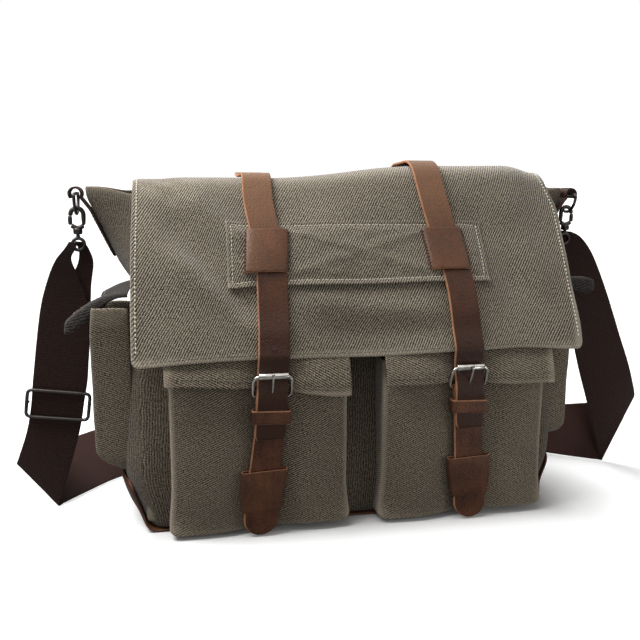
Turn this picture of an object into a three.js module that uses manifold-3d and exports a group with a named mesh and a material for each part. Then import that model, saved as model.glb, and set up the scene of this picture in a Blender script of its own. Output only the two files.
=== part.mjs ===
// Canvas messenger bag with leather straps, in millimetres.
// Origin: on the floor under the centre of the body. +X to the right seen from the front,
// the front faces -Y, and +Z is up.

import * as THREE from 'three';
import { mergeVertices } from 'three/addons/utils/BufferGeometryUtils.js';
import Module from 'manifold-3d';

const wasm = await Module();
wasm.setup();

// ---------------------------------------------------------------- driving dimensions

const SIDES = { left: -1, right: 1 };
const GAP = 0.3; // air between pieces that lie on each other
const CANVAS = 3; // body canvas with its facing
const LEATHER = 2.6; // strap leather

const BODY = { halfWidth: 186, halfDepth: 60, hem: 284, waist: 165, mouthFront: -21 };
const BASE = { halfWidth: 189.5, turnUp: 44, thickness: 3 };
const RIDGE = { y: 5, start: 198, top: 289, reach: 40 }; // the gusset's fold, pulled out by its ring
const BOARD = { halfWidth: 178, halfDepth: 52, lift: 1.5, thickness: 3 };
const DIVIDER = { halfWidth: 176, front: 43, back: 51, lift: 5, top: 256 };
const FRONT_CENTRE = 5; // the flap and the pockets are sewn a little right of the middle

const POCKET = { centre: 87.5, halfWidth: 75.5, front: -90, bottom: 4, top: 147, wall: 2.5 };
const POCKET_FLAP = { halfWidth: 77.5, hinge: [-61.5, 176], corner: [-93.4, 154], lower: 131 };
const SIDE_POCKET = { reach: 37, front: -50, back: 52, bottom: 46, top: 182, wall: 2.5, round: 20 };
const SIDE_FLAP = { root: 190.5, hinge: 203, front: -46, back: 46, thickness: 2.5 };

const FLAP = { halfWidth: 192.5, thickness: 2.6, crest: [-18, 303], rear: [59.5, 297] };
const FLAP_LOWER_EDGE = [-97.5, 155];
const CREST_SETBACK = 1.9; // keeps the two flap panels' inner edges apart at the fold
const BAND = { left: -105, right: 120, start: 45, end: 99, thickness: 1.5 };

const STRAP = { halfWidth: 13, spacing: 78, spread: 0.053, centre: 7, lift: 2.1 };
const KEEPER = { halfWidth: 18, start: 52, end: 90, wall: 1.8 };
const HEEL = [-96.2, 121.5]; // buckle heel bar, in the YZ plane
const ROLLER = { centre: [-103.3, 141.5], radius: 3, bore: 1.9, halfWidth: 12.6 };
const BUCKLE = { bar: 1.6, post: 14, outer: 17.2 };
const CHAPE = { back: -94.9, tip: 1.5, eye: 4.2, wrap: 1.2, slot: 2.6 }; // wrap: radians past the bar
const LOOP = { bottom: 100, top: 112, wall: 1.5 };
const SLEEVE = { halfWidth: 18.5, bottom: 23, top: 59, wall: 1.5 };
const SNAP = { height: 41, radius: 6 };
const BILLET = { tip: 88, slot: 2.2 };
const PRONG = { halfWidth: 1.6, thickness: 2.2, eyeHalfWidth: 2, eyeRadius: 3.3 };

const RING = { x: 233.5, y: 5, z: 284.5, radius: 16.5, wire: 3.4 };
const TAB = { halfWidth: 9, foot: 228, thickness: 3, eye: 5.2, bore: 2.7 };
const HOOK = { halfWidth: 7.5, bottom: 252, top: 273.3, wire: 3, thickness: 4, mouth: [257.5, 265] };
const GATE = { inner: 4.8, outer: 7.2, halfDepth: 1.6, playBelow: 0.7, playAbove: 0.4 };
const EYE = { z: 239, radius: 8, bore: 5.2, stud: 1.8, head: 3.2 };
const WEBBING = { halfWidth: 24, thickness: 2.4 };
const SLIDER = { halfWidth: 29, halfHeight: 14.5, post: 3.6, depth: 3, centre: [-258.8, 6, 94.6] };
const SLIDER_TILT = Math.atan2(14, 105); // the webbing leans outwards on its way down

// ---------------------------------------------------------------- materials and the group

const bag = new THREE.Group();

const FINISH = {
  canvas: { color: 0x6f6a5c, roughness: 0.95, metalness: 0 },
  leather: { color: 0x5a3326, roughness: 0.55, metalness: 0 },
  webbing: { color: 0x2b1c19, roughness: 0.9, metalness: 0 },
  lining: { color: 0x8a7b62, roughness: 0.9, metalness: 0 },
  foam: { color: 0x57534a, roughness: 0.95, metalness: 0 },
  board: { color: 0x2f2d2a, roughness: 0.7, metalness: 0 },
  nickel: { color: 0xb9b6b0, roughness: 0.25, metalness: 1 },
  gunmetal: { color: 0x35322f, roughness: 0.35, metalness: 1 },
};

function add(name, geometry, finish) {
  const mesh = new THREE.Mesh(geometry, new THREE.MeshStandardMaterial(FINISH[finish]));
  mesh.name = name;
  bag.add(mesh);
}

// ---------------------------------------------------------------- geometry helpers

function shapeFrom(outline, holes = []) {
  const shape = new THREE.Shape(outline.map(([a, b]) => new THREE.Vector2(a, b)));
  shape.holes = holes;
  return shape;
}

function extrude(shape, depth, curveSegments = 8) {
  return new THREE.ExtrudeGeometry(shape, { depth, bevelEnabled: false, curveSegments });
}

// A shape in the YZ plane, extruded from x0 to x1.
function prismX(shape, x0, x1) {
  const basis = new THREE.Matrix4().makeBasis(
    new THREE.Vector3(0, 1, 0), new THREE.Vector3(0, 0, 1), new THREE.Vector3(1, 0, 0));
  return extrude(shape, x1 - x0).applyMatrix4(basis).translate(x0, 0, 0);
}

// A shape in the XZ plane, extruded from y0 to y1.
function prismY(shape, y0, y1) {
  const basis = new THREE.Matrix4().makeBasis(
    new THREE.Vector3(1, 0, 0), new THREE.Vector3(0, 0, 1), new THREE.Vector3(0, -1, 0));
  return extrude(shape, y1 - y0).applyMatrix4(basis).translate(0, y1, 0);
}

// A shape in the XY plane, extruded from z0 to z1.
function prismZ(shape, z0, z1) {
  return extrude(shape, z1 - z0).translate(0, 0, z0);
}

function block(x0, x1, y0, y1, z0, z1) {
  return new THREE.BoxGeometry(x1 - x0, y1 - y0, z1 - z0)
    .translate((x0 + x1) / 2, (y0 + y1) / 2, (z0 + z1) / 2);
}

function rectangle(a0, a1, b0, b1) {
  return [[a0, b0], [a1, b0], [a1, b1], [a0, b1]];
}

function circle(a, b, radius) {
  return new THREE.Path().absarc(a, b, radius, 0, 2 * Math.PI);
}

// The outline of a sheet whose one face follows the path; the other face lies to its left.
function strip(path, thickness) {
  const normals = path.slice(1).map(([a, b], i) => {
    const [da, db] = [a - path[i][0], b - path[i][1]];
    const length = Math.hypot(da, db);
    return [-db / length, da / length];
  });
  const offset = path.map(([a, b], i) => {
    const before = normals[Math.max(i - 1, 0)];
    const after = normals[Math.min(i, normals.length - 1)];
    const mitre = thickness / (1 + before[0] * after[0] + before[1] * after[1]);
    return [a + mitre * (before[0] + after[0]), b + mitre * (before[1] + after[1])];
  });
  return shapeFrom([...path, ...offset.reverse()]);
}

// A bent sheet: a box of unit size whose vertices are placed by a function of
// (across, deep, up), each from 0 to 1.
function sheet(columns, rows, place) {
  const geometry = new THREE.BoxGeometry(1, 1, 1, columns, 1, rows);
  const position = geometry.attributes.position;
  for (let i = 0; i < position.count; i += 1) {
    const at = place(position.getX(i) + 0.5, position.getY(i) + 0.5, position.getZ(i) + 0.5);
    position.setXYZ(i, at.x, at.y, at.z);
  }
  return geometry;
}

function solidOf(geometry) {
  const bare = geometry.clone();
  bare.deleteAttribute('normal');
  bare.deleteAttribute('uv');
  const merged = mergeVertices(bare, 1e-4);
  return new wasm.Manifold(new wasm.Mesh({
    numProp: 3,
    vertProperties: new Float32Array(merged.attributes.position.array),
    triVerts: new Uint32Array(merged.index.array),
  }));
}

function geometryOf(solid) {
  const mesh = solid.getMesh();
  const geometry = new THREE.BufferGeometry();
  geometry.setAttribute('position', new THREE.BufferAttribute(mesh.vertProperties, 3));
  geometry.setIndex(new THREE.BufferAttribute(mesh.triVerts, 1));
  return geometry;
}

function joined(...pieces) {
  return geometryOf(pieces.map(solidOf).reduce((a, b) => a.add(b)));
}

function cut(piece, ...tools) {
  return geometryOf(tools.map(solidOf).reduce((rest, tool) => rest.subtract(tool), solidOf(piece)));
}

function shared(a, b) {
  return geometryOf(solidOf(a).intersect(solidOf(b)));
}

function between(low, high, share) {
  return low + (high - low) * share;
}

// ---------------------------------------------------------------- body shell

const inside = BODY.halfWidth - CANVAS;
const floor = BASE.thickness + 2 * GAP;

// Where the body's front stands at a height: upright to the waist, then leaning back.
function frontAt(z) {
  const lean = (BODY.mouthFront + BODY.halfDepth) / (BODY.hem - BODY.waist);
  return -BODY.halfDepth + Math.max(z - BODY.waist, 0) * lean;
}

function frontPath(inset, bottom, top) {
  return [bottom, BODY.waist, top].map((z) => [frontAt(z) + inset, z]);
}

function gusset(side) {
  const heights = [floor, BODY.waist, RIDGE.start, RIDGE.top];
  const rows = heights.length - 1;
  return sheet(2, rows, (across, deep, up) => {
    const z = heights[Math.round(up * rows)];
    const tent = 1 - Math.abs(2 * across - 1);
    const pull = RIDGE.reach * Math.max(z - RIDGE.start, 0) / (RIDGE.top - RIDGE.start);
    const front = frontAt(z);
    const back = BODY.halfDepth;
    const y = across < 0.5
      ? between(front, RIDGE.y, 2 * across)
      : between(RIDGE.y, back, 2 * across - 1);
    const outwards = side < 0 ? deep : 1 - deep;
    const x = inside + CANVAS * outwards + pull * tent;
    return new THREE.Vector3(side * x, y, z);
  });
}

function lining() {
  const half = inside - 2 * GAP;
  const wall = 1;
  const skin = (inset, bottom, top) => shapeFrom([
    ...frontPath(CANVAS + GAP + inset, bottom, top),
    [BODY.halfDepth - CANVAS - GAP - inset, top],
    [BODY.halfDepth - CANVAS - GAP - inset, bottom],
  ]);
  const outer = prismX(skin(0, floor, BODY.hem - 2), -half, half);
  const inner = prismX(skin(wall, floor + wall, BODY.hem + 1), -half + wall, half - wall);
  return cut(outer, inner);
}

function buildBody() {
  const across = BASE.halfWidth;
  const tray = [[-across, BASE.turnUp], [-across, 0], [across, 0], [across, BASE.turnUp]];
  add('base_panel', prismY(strip(tray, BASE.thickness), -BODY.halfDepth, BODY.halfDepth), 'leather');
  const half = inside - 2 * GAP;
  add('front_panel', prismX(strip(frontPath(0, floor, BODY.hem), -CANVAS), -half, half), 'canvas');
  add('back_panel', block(-half, half, BODY.halfDepth - CANVAS, BODY.halfDepth, floor, RIDGE.top), 'canvas');
  add('left_gusset', gusset(SIDES.left), 'canvas');
  add('right_gusset', gusset(SIDES.right), 'canvas');
  add('lining', lining(), 'lining');
  const board = block(-BOARD.halfWidth, BOARD.halfWidth, -BOARD.halfDepth, BOARD.halfDepth,
    floor + BOARD.lift, floor + BOARD.lift + BOARD.thickness);
  add('base_board', board, 'board');
  const { halfWidth, front, back, top } = DIVIDER;
  add('laptop_divider', block(-halfWidth, halfWidth, front, back, floor + DIVIDER.lift, top), 'foam');
}

// ---------------------------------------------------------------- pockets

function frontPocket(side) {
  const centre = FRONT_CENTRE + side * POCKET.centre;
  const [x0, x1] = [centre - POCKET.halfWidth, centre + POCKET.halfWidth];
  const back = -BODY.halfDepth - GAP;
  const { wall, front, bottom, top } = POCKET;
  const outer = block(x0, x1, front, back, bottom, top);
  return cut(outer, block(x0 + wall, x1 - wall, front + wall, back + 1, bottom + wall, top + 1));
}

function pocketFlap(side) {
  const centre = FRONT_CENTRE + side * POCKET.centre;
  const { hinge, corner, lower, halfWidth } = POCKET_FLAP;
  const path = [hinge, corner, [corner[0], lower]];
  return prismX(strip(path, CANVAS), centre - halfWidth, centre + halfWidth);
}

function sidePocketOutline(side, inset) {
  const inner = BODY.halfWidth + BASE.thickness + 2 * GAP;
  const outer = BODY.halfWidth + SIDE_POCKET.reach - inset;
  const { bottom, top, round } = SIDE_POCKET;
  const points = [
    [inner - (inset ? 1 : 0), bottom + inset],
    [outer - round, bottom + inset],
    [outer - 0.3 * round, bottom + 0.3 * round + inset],
    [outer, bottom + round + inset],
    [outer, top + (inset ? 1 : 0)],
    [inner - (inset ? 1 : 0), top + (inset ? 1 : 0)],
  ];
  return shapeFrom(points.map(([x, z]) => [side * x, z]));
}

function sidePocket(side) {
  const { front, back, wall } = SIDE_POCKET;
  const outer = prismY(sidePocketOutline(side, 0), front, back);
  return cut(outer, prismY(sidePocketOutline(side, wall), front + wall, back - wall));
}

// The side pocket's flap: short at the back, with its front corner curling out and down.
function sideFlap(side) {
  const lengths = [53, 45, 28, 28, 28];
  const drops = [32, 26, 13, 13, 13];
  const columns = lengths.length - 1;
  return sheet(columns, 2, (across, deep, up) => {
    const column = Math.round(across * columns);
    const outwards = side < 0 ? 1 - up : up;
    const x = SIDE_FLAP.root + lengths[column] * outwards;
    const z = SIDE_FLAP.hinge - drops[column] * outwards ** 1.5;
    const y = between(SIDE_FLAP.front, SIDE_FLAP.back, across);
    return new THREE.Vector3(side * x, y, z + SIDE_FLAP.thickness * (deep - 0.5));
  });
}

function buildPockets() {
  for (const [name, side] of Object.entries(SIDES)) {
    add(`${name}_front_pocket`, frontPocket(side), 'canvas');
    add(`${name}_pocket_flap`, pocketFlap(side), 'canvas');
    add(`${name}_side_pocket`, sidePocket(side), 'canvas');
    add(`${name}_side_flap`, sideFlap(side), 'canvas');
  }
}

// ---------------------------------------------------------------- main flap

const slopeLength = Math.hypot(FLAP_LOWER_EDGE[0] - FLAP.crest[0], FLAP_LOWER_EDGE[1] - FLAP.crest[1]);
const down = FLAP_LOWER_EDGE.map((v, i) => (v - FLAP.crest[i]) / slopeLength);
const topLength = Math.hypot(FLAP.rear[0] - FLAP.crest[0], FLAP.rear[1] - FLAP.crest[1]);
const back = FLAP.rear.map((v, i) => (v - FLAP.crest[i]) / topLength);

// A point on the flap's front slope: distance down from the crest, height off its outer face.
function onSlope(distance, lift) {
  return [
    FLAP.crest[0] + down[0] * distance + down[1] * lift,
    FLAP.crest[1] + down[1] * distance - down[0] * lift,
  ];
}

// A point on the flap's top: distance back from the crest, height off its outer face.
function onTop(distance, lift) {
  return [
    FLAP.crest[0] + back[0] * distance - back[1] * lift,
    FLAP.crest[1] + back[1] * distance + back[0] * lift,
  ];
}

function slopeBlock(x0, x1, start, end, low, high) {
  const outline = [onSlope(start, low), onSlope(end, low), onSlope(end, high), onSlope(start, high)];
  return prismX(shapeFrom(outline), x0, x1);
}

function buildFlap() {
  const [x0, x1] = [FRONT_CENTRE - FLAP.halfWidth, FRONT_CENTRE + FLAP.halfWidth];
  const top = [onTop(CREST_SETBACK, 0), FLAP.rear];
  add('flap_top_panel', prismX(strip(top, -FLAP.thickness), x0, x1), 'canvas');
  const front = [onSlope(CREST_SETBACK, 0), onSlope(slopeLength, 0)];
  add('flap_front_panel', prismX(strip(front, FLAP.thickness), x0, x1), 'canvas');
  const band = slopeBlock(BAND.left, BAND.right, BAND.start, BAND.end, GAP, GAP + BAND.thickness);
  add('flap_band', band, 'canvas');
}

// ---------------------------------------------------------------- leather straps and buckles

// The straps spread apart a little on their way down: shear a piece built about x = 0.
function placed(geometry, side) {
  const spread = -side * STRAP.spread;
  const offset = STRAP.centre + side * (STRAP.spacing + STRAP.spread * FLAP.crest[1]);
  const shear = new THREE.Matrix4().set(
    1, 0, spread, offset,
    0, 1, 0, 0,
    0, 0, 1, 0,
    0, 0, 0, 1);
  return geometry.applyMatrix4(shear);
}

function strapTop() {
  const path = [onTop(GAP, STRAP.lift), onTop(topLength, STRAP.lift)];
  return prismX(strip(path, LEATHER), -STRAP.halfWidth, STRAP.halfWidth);
}

// The billet: over the flap, behind the roller, over the heel bar and down on the chape.
function billet() {
  const behindRoller = ROLLER.centre[0] + ROLLER.radius + LEATHER + 2 * GAP;
  const overHeel = HEEL[0] - CHAPE.eye - GAP;
  const onChape = CHAPE.back - LEATHER - GAP;
  const path = [
    onSlope(GAP, STRAP.lift),
    onSlope(slopeLength, STRAP.lift),
    [behindRoller, ROLLER.centre[1] + 2],
    [behindRoller, ROLLER.centre[1] - 3],
    [overHeel, HEEL[1] + 3.5],
    [overHeel, HEEL[1] - 3.5],
    [onChape, HEEL[1] - 8.5],
    [onChape, BILLET.tip],
  ];
  const leather = prismX(strip(path, -LEATHER), -STRAP.halfWidth, STRAP.halfWidth);
  return cut(leather, prongSlot(BILLET.slot, 5.5, 13));
}

// The room a prong needs in the leather, below and above the heel bar.
function prongSlot(halfWidth, below, above) {
  return block(-halfWidth, halfWidth, HEEL[0] - 16, HEEL[0] + 6, HEEL[1] - below, HEEL[1] + above);
}

function keeper() {
  const low = STRAP.lift;
  const high = low + LEATHER + 2 * GAP;
  const { halfWidth, start, end, wall } = KEEPER;
  const outer = slopeBlock(-halfWidth, halfWidth, start, end, low, high + wall);
  const half = STRAP.halfWidth + 0.5;
  return cut(outer, slopeBlock(-half, half, start - 1, end + 1, low - 1, high));
}

// The chape: folded round the heel bar, slotted for the prong, with a rounded tongue below.
function chape() {
  const front = CHAPE.back - LEATHER;
  const foldEnd = HEEL[1] - 2;
  const shape = shapeFrom([[CHAPE.back, CHAPE.tip], [CHAPE.back, foldEnd]]);
  shape.absarc(...HEEL, CHAPE.eye, -CHAPE.wrap, Math.PI + CHAPE.wrap);
  shape.lineTo(front, foldEnd);
  shape.lineTo(front, CHAPE.tip);
  shape.holes = [circle(...HEEL, ROLLER.bore)];
  const folded = cut(prismX(shape, -STRAP.halfWidth, STRAP.halfWidth), prongSlot(CHAPE.slot, 6.5, 8.5));
  const top = HEEL[1] + 2 * CHAPE.eye;
  const tongue = shapeFrom([[STRAP.halfWidth, top], [-STRAP.halfWidth, top]]);
  tongue.absarc(0, CHAPE.tip + STRAP.halfWidth, STRAP.halfWidth, Math.PI, 2 * Math.PI);
  return shared(folded, prismY(tongue, front - 4, CHAPE.back + 4));
}

function ringAround(halfWidth, innerBack, innerFront, wallX, wallY, bottom, top) {
  const hole = rectangle(-halfWidth, halfWidth, innerFront, innerBack);
  const outline = rectangle(-halfWidth - wallX, halfWidth + wallX, innerFront - wallY, innerBack + wallY);
  return prismZ(shapeFrom(outline, [new THREE.Path(hole.map(([a, b]) => new THREE.Vector2(a, b)))]),
    bottom, top);
}

function strapLoop() {
  const front = CHAPE.back - 2 * LEATHER - 2 * GAP;
  const { wall, bottom, top } = LOOP;
  return ringAround(STRAP.halfWidth + 0.4, CHAPE.back + GAP, front, wall, wall, bottom, top);
}

function sleeve() {
  const half = STRAP.halfWidth + 0.4;
  const { halfWidth, wall, bottom, top } = SLEEVE;
  return ringAround(half, CHAPE.back + GAP, CHAPE.back - LEATHER - GAP, halfWidth - half, wall, bottom, top);
}

function buckleFrame() {
  const bar = ([y, z]) => prismX(shapeFrom(circle(y, z, BUCKLE.bar).getPoints(6).slice(0, -1)
    .map((p) => [p.x, p.y])), -BUCKLE.outer, BUCKLE.outer);
  const run = [ROLLER.centre[0] - HEEL[0], ROLLER.centre[1] - HEEL[1]];
  const length = Math.hypot(...run);
  const side = [-run[1] / length * BUCKLE.bar, run[0] / length * BUCKLE.bar];
  const start = [HEEL[0] - side[0], HEEL[1] - side[1]];
  const post = strip([start, [start[0] + run[0], start[1] + run[1]]], 2 * BUCKLE.bar);
  return joined(bar(HEEL), bar(ROLLER.centre),
    prismX(post, -BUCKLE.outer, -BUCKLE.post), prismX(post, BUCKLE.post, BUCKLE.outer));
}

function roller() {
  const round = new THREE.Shape().absarc(...ROLLER.centre, ROLLER.radius, 0, 2 * Math.PI);
  round.holes = [circle(...ROLLER.centre, ROLLER.bore)];
  return prismX(round, -ROLLER.halfWidth, ROLLER.halfWidth);
}

// The prong: an eye on the heel bar and an arm that rests on the roller.
function prong() {
  const { halfWidth, thickness, eyeHalfWidth, eyeRadius } = PRONG;
  const eye = new THREE.Shape().absarc(...HEEL, eyeRadius, 0, 2 * Math.PI);
  eye.holes = [circle(...HEEL, ROLLER.bore)];
  const rest = ROLLER.centre[0] - ROLLER.radius - GAP;
  const path = [[HEEL[0] - 2.5, HEEL[1]], [rest, ROLLER.centre[1] - 2], [rest, ROLLER.centre[1] + 3.5]];
  const arm = prismX(strip(path, thickness), -halfWidth, halfWidth);
  return joined(prismX(eye, -eyeHalfWidth, eyeHalfWidth), arm);
}

function snapDisc(back, front, radius) {
  return new THREE.CylinderGeometry(radius, radius, back - front, 16)
    .translate(0, (back + front) / 2, SNAP.height);
}

function buildStraps() {
  for (const [name, side] of Object.entries(SIDES)) {
    const put = (piece, geometry, finish) => add(`${name}_${piece}`, placed(geometry, side), finish);
    put('strap_top', strapTop(), 'leather');
    put('billet', billet(), 'leather');
    put('flap_keeper', keeper(), 'leather');
    put('chape', chape(), 'leather');
    put('strap_loop', strapLoop(), 'leather');
    put('snap_sleeve', sleeve(), 'leather');
    put('buckle_frame', buckleFrame(), 'nickel');
    put('buckle_roller', roller(), 'nickel');
    put('buckle_prong', prong(), 'nickel');
    put('snap_socket', snapDisc(POCKET.front - GAP, POCKET.front - 1.4, SNAP.radius + 0.5), 'nickel');
    put('snap_stud', snapDisc(POCKET.front - 1.7, POCKET.front - 2.9, SNAP.radius), 'nickel');
  }
}

// ---------------------------------------------------------------- rings, hooks and shoulder strap

// The leather tab lies on the gusset's fold and turns over the ring's bar in an eye.
function ringTab(side) {
  const { halfWidth, foot, thickness, eye } = TAB;
  const slope = RIDGE.reach / (RIDGE.top - RIDGE.start);
  const footX = BODY.halfWidth + (foot - RIDGE.start) * slope + thickness + 1;
  const strap = strip([[RING.x - 5, RING.z - 1], [footX, foot]], -thickness);
  const mirrored = shapeFrom(strap.getPoints().map((p) => [side * p.x, p.y]));
  const round = new THREE.Shape().absarc(side * RING.x, RING.z, eye, 0, 2 * Math.PI);
  const [front, back] = [RING.y - halfWidth, RING.y + halfWidth];
  const plate = joined(prismY(round, front, back), prismY(mirrored, front, back));
  const bore = new THREE.Shape().absarc(side * RING.x, RING.z, TAB.bore, 0, 2 * Math.PI);
  return cut(plate, prismY(bore, front - 3, back + 3));
}

function dRing(side) {
  const half = RING.wire / 2;
  const outline = new THREE.Shape();
  outline.moveTo(RING.y - RING.radius - half, RING.z + half);
  outline.absarc(RING.y, RING.z, RING.radius + half, Math.PI, 2 * Math.PI);
  outline.lineTo(RING.y + RING.radius + half, RING.z + half);
  const hole = new THREE.Path().absarc(RING.y, RING.z - half, RING.radius - half, Math.PI, 2 * Math.PI);
  hole.closePath();
  outline.holes = [hole];
  return prismX(outline, side * RING.x - half, side * RING.x + half);
}

function stadium(halfWidth, bottom, top) {
  const shape = new THREE.Shape();
  shape.absarc(0, top - halfWidth, halfWidth, 0, Math.PI);
  shape.absarc(0, bottom + halfWidth, halfWidth, Math.PI, 2 * Math.PI);
  return shape;
}

// An upright round bar on the hook's own axis.
function post(radius, length, z) {
  return new THREE.CylinderGeometry(radius, radius, length, 12).rotateX(Math.PI / 2).translate(0, 0, z);
}

function snapHook(side) {
  const { halfWidth, bottom, top, wire, thickness, mouth } = HOOK;
  const half = thickness / 2;
  const outer = prismY(stadium(halfWidth, bottom - 2, top), -half, half);
  const foot = post(4.2, 6, bottom);
  const opening = prismY(stadium(halfWidth - wire, bottom + 3, top - wire - 0.2), -half - 1, half + 1);
  const bore = post(EYE.stud + 0.5, 12, bottom);
  const window = block(halfWidth - wire - 0.5, halfWidth + 1.5, -half - 1, half + 1, ...mouth);
  const hook = cut(joined(outer, foot), opening, bore, window);
  if (side < 0) hook.rotateZ(Math.PI);
  return hook.translate(side * RING.x, RING.y, 0);
}

function hookGate(side) {
  const { inner, outer, halfDepth, playBelow, playAbove } = GATE;
  const [low, high] = [HOOK.mouth[0] + playBelow, HOOK.mouth[1] - playAbove];
  const bar = block(inner, outer, -halfDepth, halfDepth, low, high);
  if (side < 0) bar.rotateZ(Math.PI);
  return bar.translate(side * RING.x, RING.y, 0);
}

// The eye that the webbing runs through, with its stud and head in the hook's foot.
function swivelEye(side) {
  const ring = new THREE.Shape().absarc(0, EYE.z, EYE.radius, 0, 2 * Math.PI);
  ring.holes = [circle(0, EYE.z, EYE.bore)];
  const stud = post(EYE.stud, 12, HOOK.bottom - 0.4);
  const head = post(EYE.head, 1.2, HOOK.bottom + 5.8);
  return joined(prismY(ring, -2, 2), stud, head).translate(side * RING.x, RING.y, 0);
}

// Stations along the webbing: centre, the direction towards its outer edge, half width.
// It hangs from each eye, folds over at the floor and stands on edge behind the bag.
function webbingStations() {
  const full = WEBBING.halfWidth;
  const up = [0, 0, 1];
  return [
    [[-RING.x, 5, 229], [-1, 0, 0], 7],
    [[-243, 6, 203], [-1, 0, 0], 18],
    [[-248, 6, 176], [-1, 0, 0], full],
    [[-262, 6, 71], [-1, 0, 0], full],
    [[-280, 1, 22], [-0.65, 0.16, 0.74], 27],
    [[-262, 24, 25.5], up, full],
    [[-205, 84, 25.5], up, full],
    [[0, 93, 25.5], up, full],
    [[205, 84, 25.5], up, full],
    [[265, 45, 25.5], up, full],
    [[316, 12, 36], [0.5, 0.15, 0.85], 38],
    [[287, 10, 112], [0.93, 0, 0.36], full],
    [[262, 8, 176], [0.96, 0, 0.28], full],
    [[252, 6, 203], [1, 0, 0], 18],
    [[RING.x, 5, 229], [1, 0, 0], 7],
  ].map(([centre, outwards, half]) => ({
    centre: new THREE.Vector3(...centre),
    outwards: new THREE.Vector3(...outwards).normalize(),
    half,
  }));
}

function webbing() {
  const stations = webbingStations();
  const last = stations.length - 1;
  return sheet(1, last, (across, deep, up) => {
    const i = Math.round(up * last);
    const { centre, outwards, half } = stations[i];
    const along = stations[Math.min(i + 1, last)].centre.clone()
      .sub(stations[Math.max(i - 1, 0)].centre);
    const face = along.cross(outwards).normalize();
    return centre.clone()
      .addScaledVector(outwards, half * (2 * across - 1))
      .addScaledVector(face, WEBBING.thickness * (deep - 0.5));
  });
}

// The slider's two outer bars lie in front of the webbing and its centre bar behind it.
function slider() {
  const { halfWidth, halfHeight, post: wire, depth } = SLIDER;
  const clear = WEBBING.thickness / 2 + GAP;
  const inner = halfWidth - wire;
  const ends = [-1, 1].map((end) => {
    const [a, b] = [end * inner, end * halfWidth].sort((p, q) => p - q);
    return block(a, b, -clear - depth, clear + depth, -halfHeight, halfHeight);
  });
  const bar = (y0, y1, z0, z1) => block(-inner - 1, inner + 1, y0, y1, z0, z1);
  const lower = bar(-clear - depth, -clear, -halfHeight, -halfHeight + wire);
  const upper = bar(-clear - depth, -clear, halfHeight - wire, halfHeight);
  const centre = bar(clear, clear + depth, -depth / 2, depth / 2);
  return joined(...ends, lower, upper, centre).rotateY(SLIDER_TILT).translate(...SLIDER.centre);
}

function buildShoulderStrap() {
  for (const [name, side] of Object.entries(SIDES)) {
    add(`${name}_ring_tab`, ringTab(side), 'leather');
    add(`${name}_d_ring`, dRing(side), 'gunmetal');
    add(`${name}_snap_hook`, snapHook(side), 'gunmetal');
    add(`${name}_hook_gate`, hookGate(side), 'gunmetal');
    add(`${name}_swivel_eye`, swivelEye(side), 'gunmetal');
  }
  add('shoulder_webbing', webbing(), 'webbing');
  add('strap_slider', slider(), 'gunmetal');
}

buildBody();
buildPockets();
buildFlap();
buildStraps();
buildShoulderStrap();

export default bag;
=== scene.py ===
"""Looks of a canvas messenger bag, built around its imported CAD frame.

Shapes are worked out in millimetres in the frame's own axes: the bag faces -Y, +X is to its right and
+Z is up from the floor. A piece called fine_NODE is the visible form of that CAD node.
"""

import bisect
import math

import bmesh
import bpy
from mathutils import Matrix, Vector, noise
from mathutils.bvhtree import BVHTree


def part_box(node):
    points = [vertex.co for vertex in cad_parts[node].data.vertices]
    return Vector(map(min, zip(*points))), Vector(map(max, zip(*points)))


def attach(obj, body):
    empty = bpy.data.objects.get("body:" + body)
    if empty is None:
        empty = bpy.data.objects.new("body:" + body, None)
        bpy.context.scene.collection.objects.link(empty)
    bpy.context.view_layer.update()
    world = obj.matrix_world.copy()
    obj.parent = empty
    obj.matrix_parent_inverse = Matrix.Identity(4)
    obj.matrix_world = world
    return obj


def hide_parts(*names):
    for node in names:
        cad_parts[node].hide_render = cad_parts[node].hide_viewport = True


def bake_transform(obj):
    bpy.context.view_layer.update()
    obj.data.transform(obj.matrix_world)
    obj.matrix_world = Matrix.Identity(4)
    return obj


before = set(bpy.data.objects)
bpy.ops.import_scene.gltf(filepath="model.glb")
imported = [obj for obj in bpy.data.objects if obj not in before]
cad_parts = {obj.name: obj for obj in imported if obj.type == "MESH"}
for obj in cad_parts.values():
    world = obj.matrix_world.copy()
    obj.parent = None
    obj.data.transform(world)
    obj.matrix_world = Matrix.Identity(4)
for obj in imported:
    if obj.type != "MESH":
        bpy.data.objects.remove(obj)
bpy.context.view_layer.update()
MM = 0.001
SIDES = {"left": -1, "right": 1}
X, Y, Z = Vector((1, 0, 0)), Vector((0, 1, 0)), Vector((0, 0, 1))


# ---------------------------------------------------------------- sizes read from the frame


def span(node):
    """Lowest and highest corner of a CAD node, in millimetres."""
    low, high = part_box(node)
    return low / MM, high / MM


def centre(node):
    low, high = span(node)
    return (low + high) / 2


BASE_HALF = span("base_panel")[1].x
BASE_TURN_UP = span("base_panel")[1].z
BODY_HALF = BASE_HALF - 3.5
BODY_CORNER = 10
FRONT = span("front_panel")[0].y
BACK = span("back_panel")[1].y
HEM = span("front_panel")[1].z
BACK_TOP = span("back_panel")[1].z
RIDGE_TOP = span("left_gusset")[1].z
RIDGE_REACH = span("right_gusset")[1].x - BODY_HALF
RIDGE_START = 198
RIDGE_Y = 5
WAIST = 165
MOUTH_LEAN = 39
BELLY = 16
CANVAS = 2.2

TOP_LOW, TOP_HIGH = span("flap_top_panel")
SLOPE_LOW = span("flap_front_panel")[0]
FLAP_LEFT, FLAP_RIGHT = TOP_LOW.x, TOP_HIGH.x
CREST = Vector((0, TOP_LOW.y - 1.9, TOP_HIGH.z + 0.1))
FLAP_EDGE = Vector((0, SLOPE_LOW.y, SLOPE_LOW.z + 1.2))
FLAP_CORNER = 6
STITCH_INSET = 4

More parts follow.
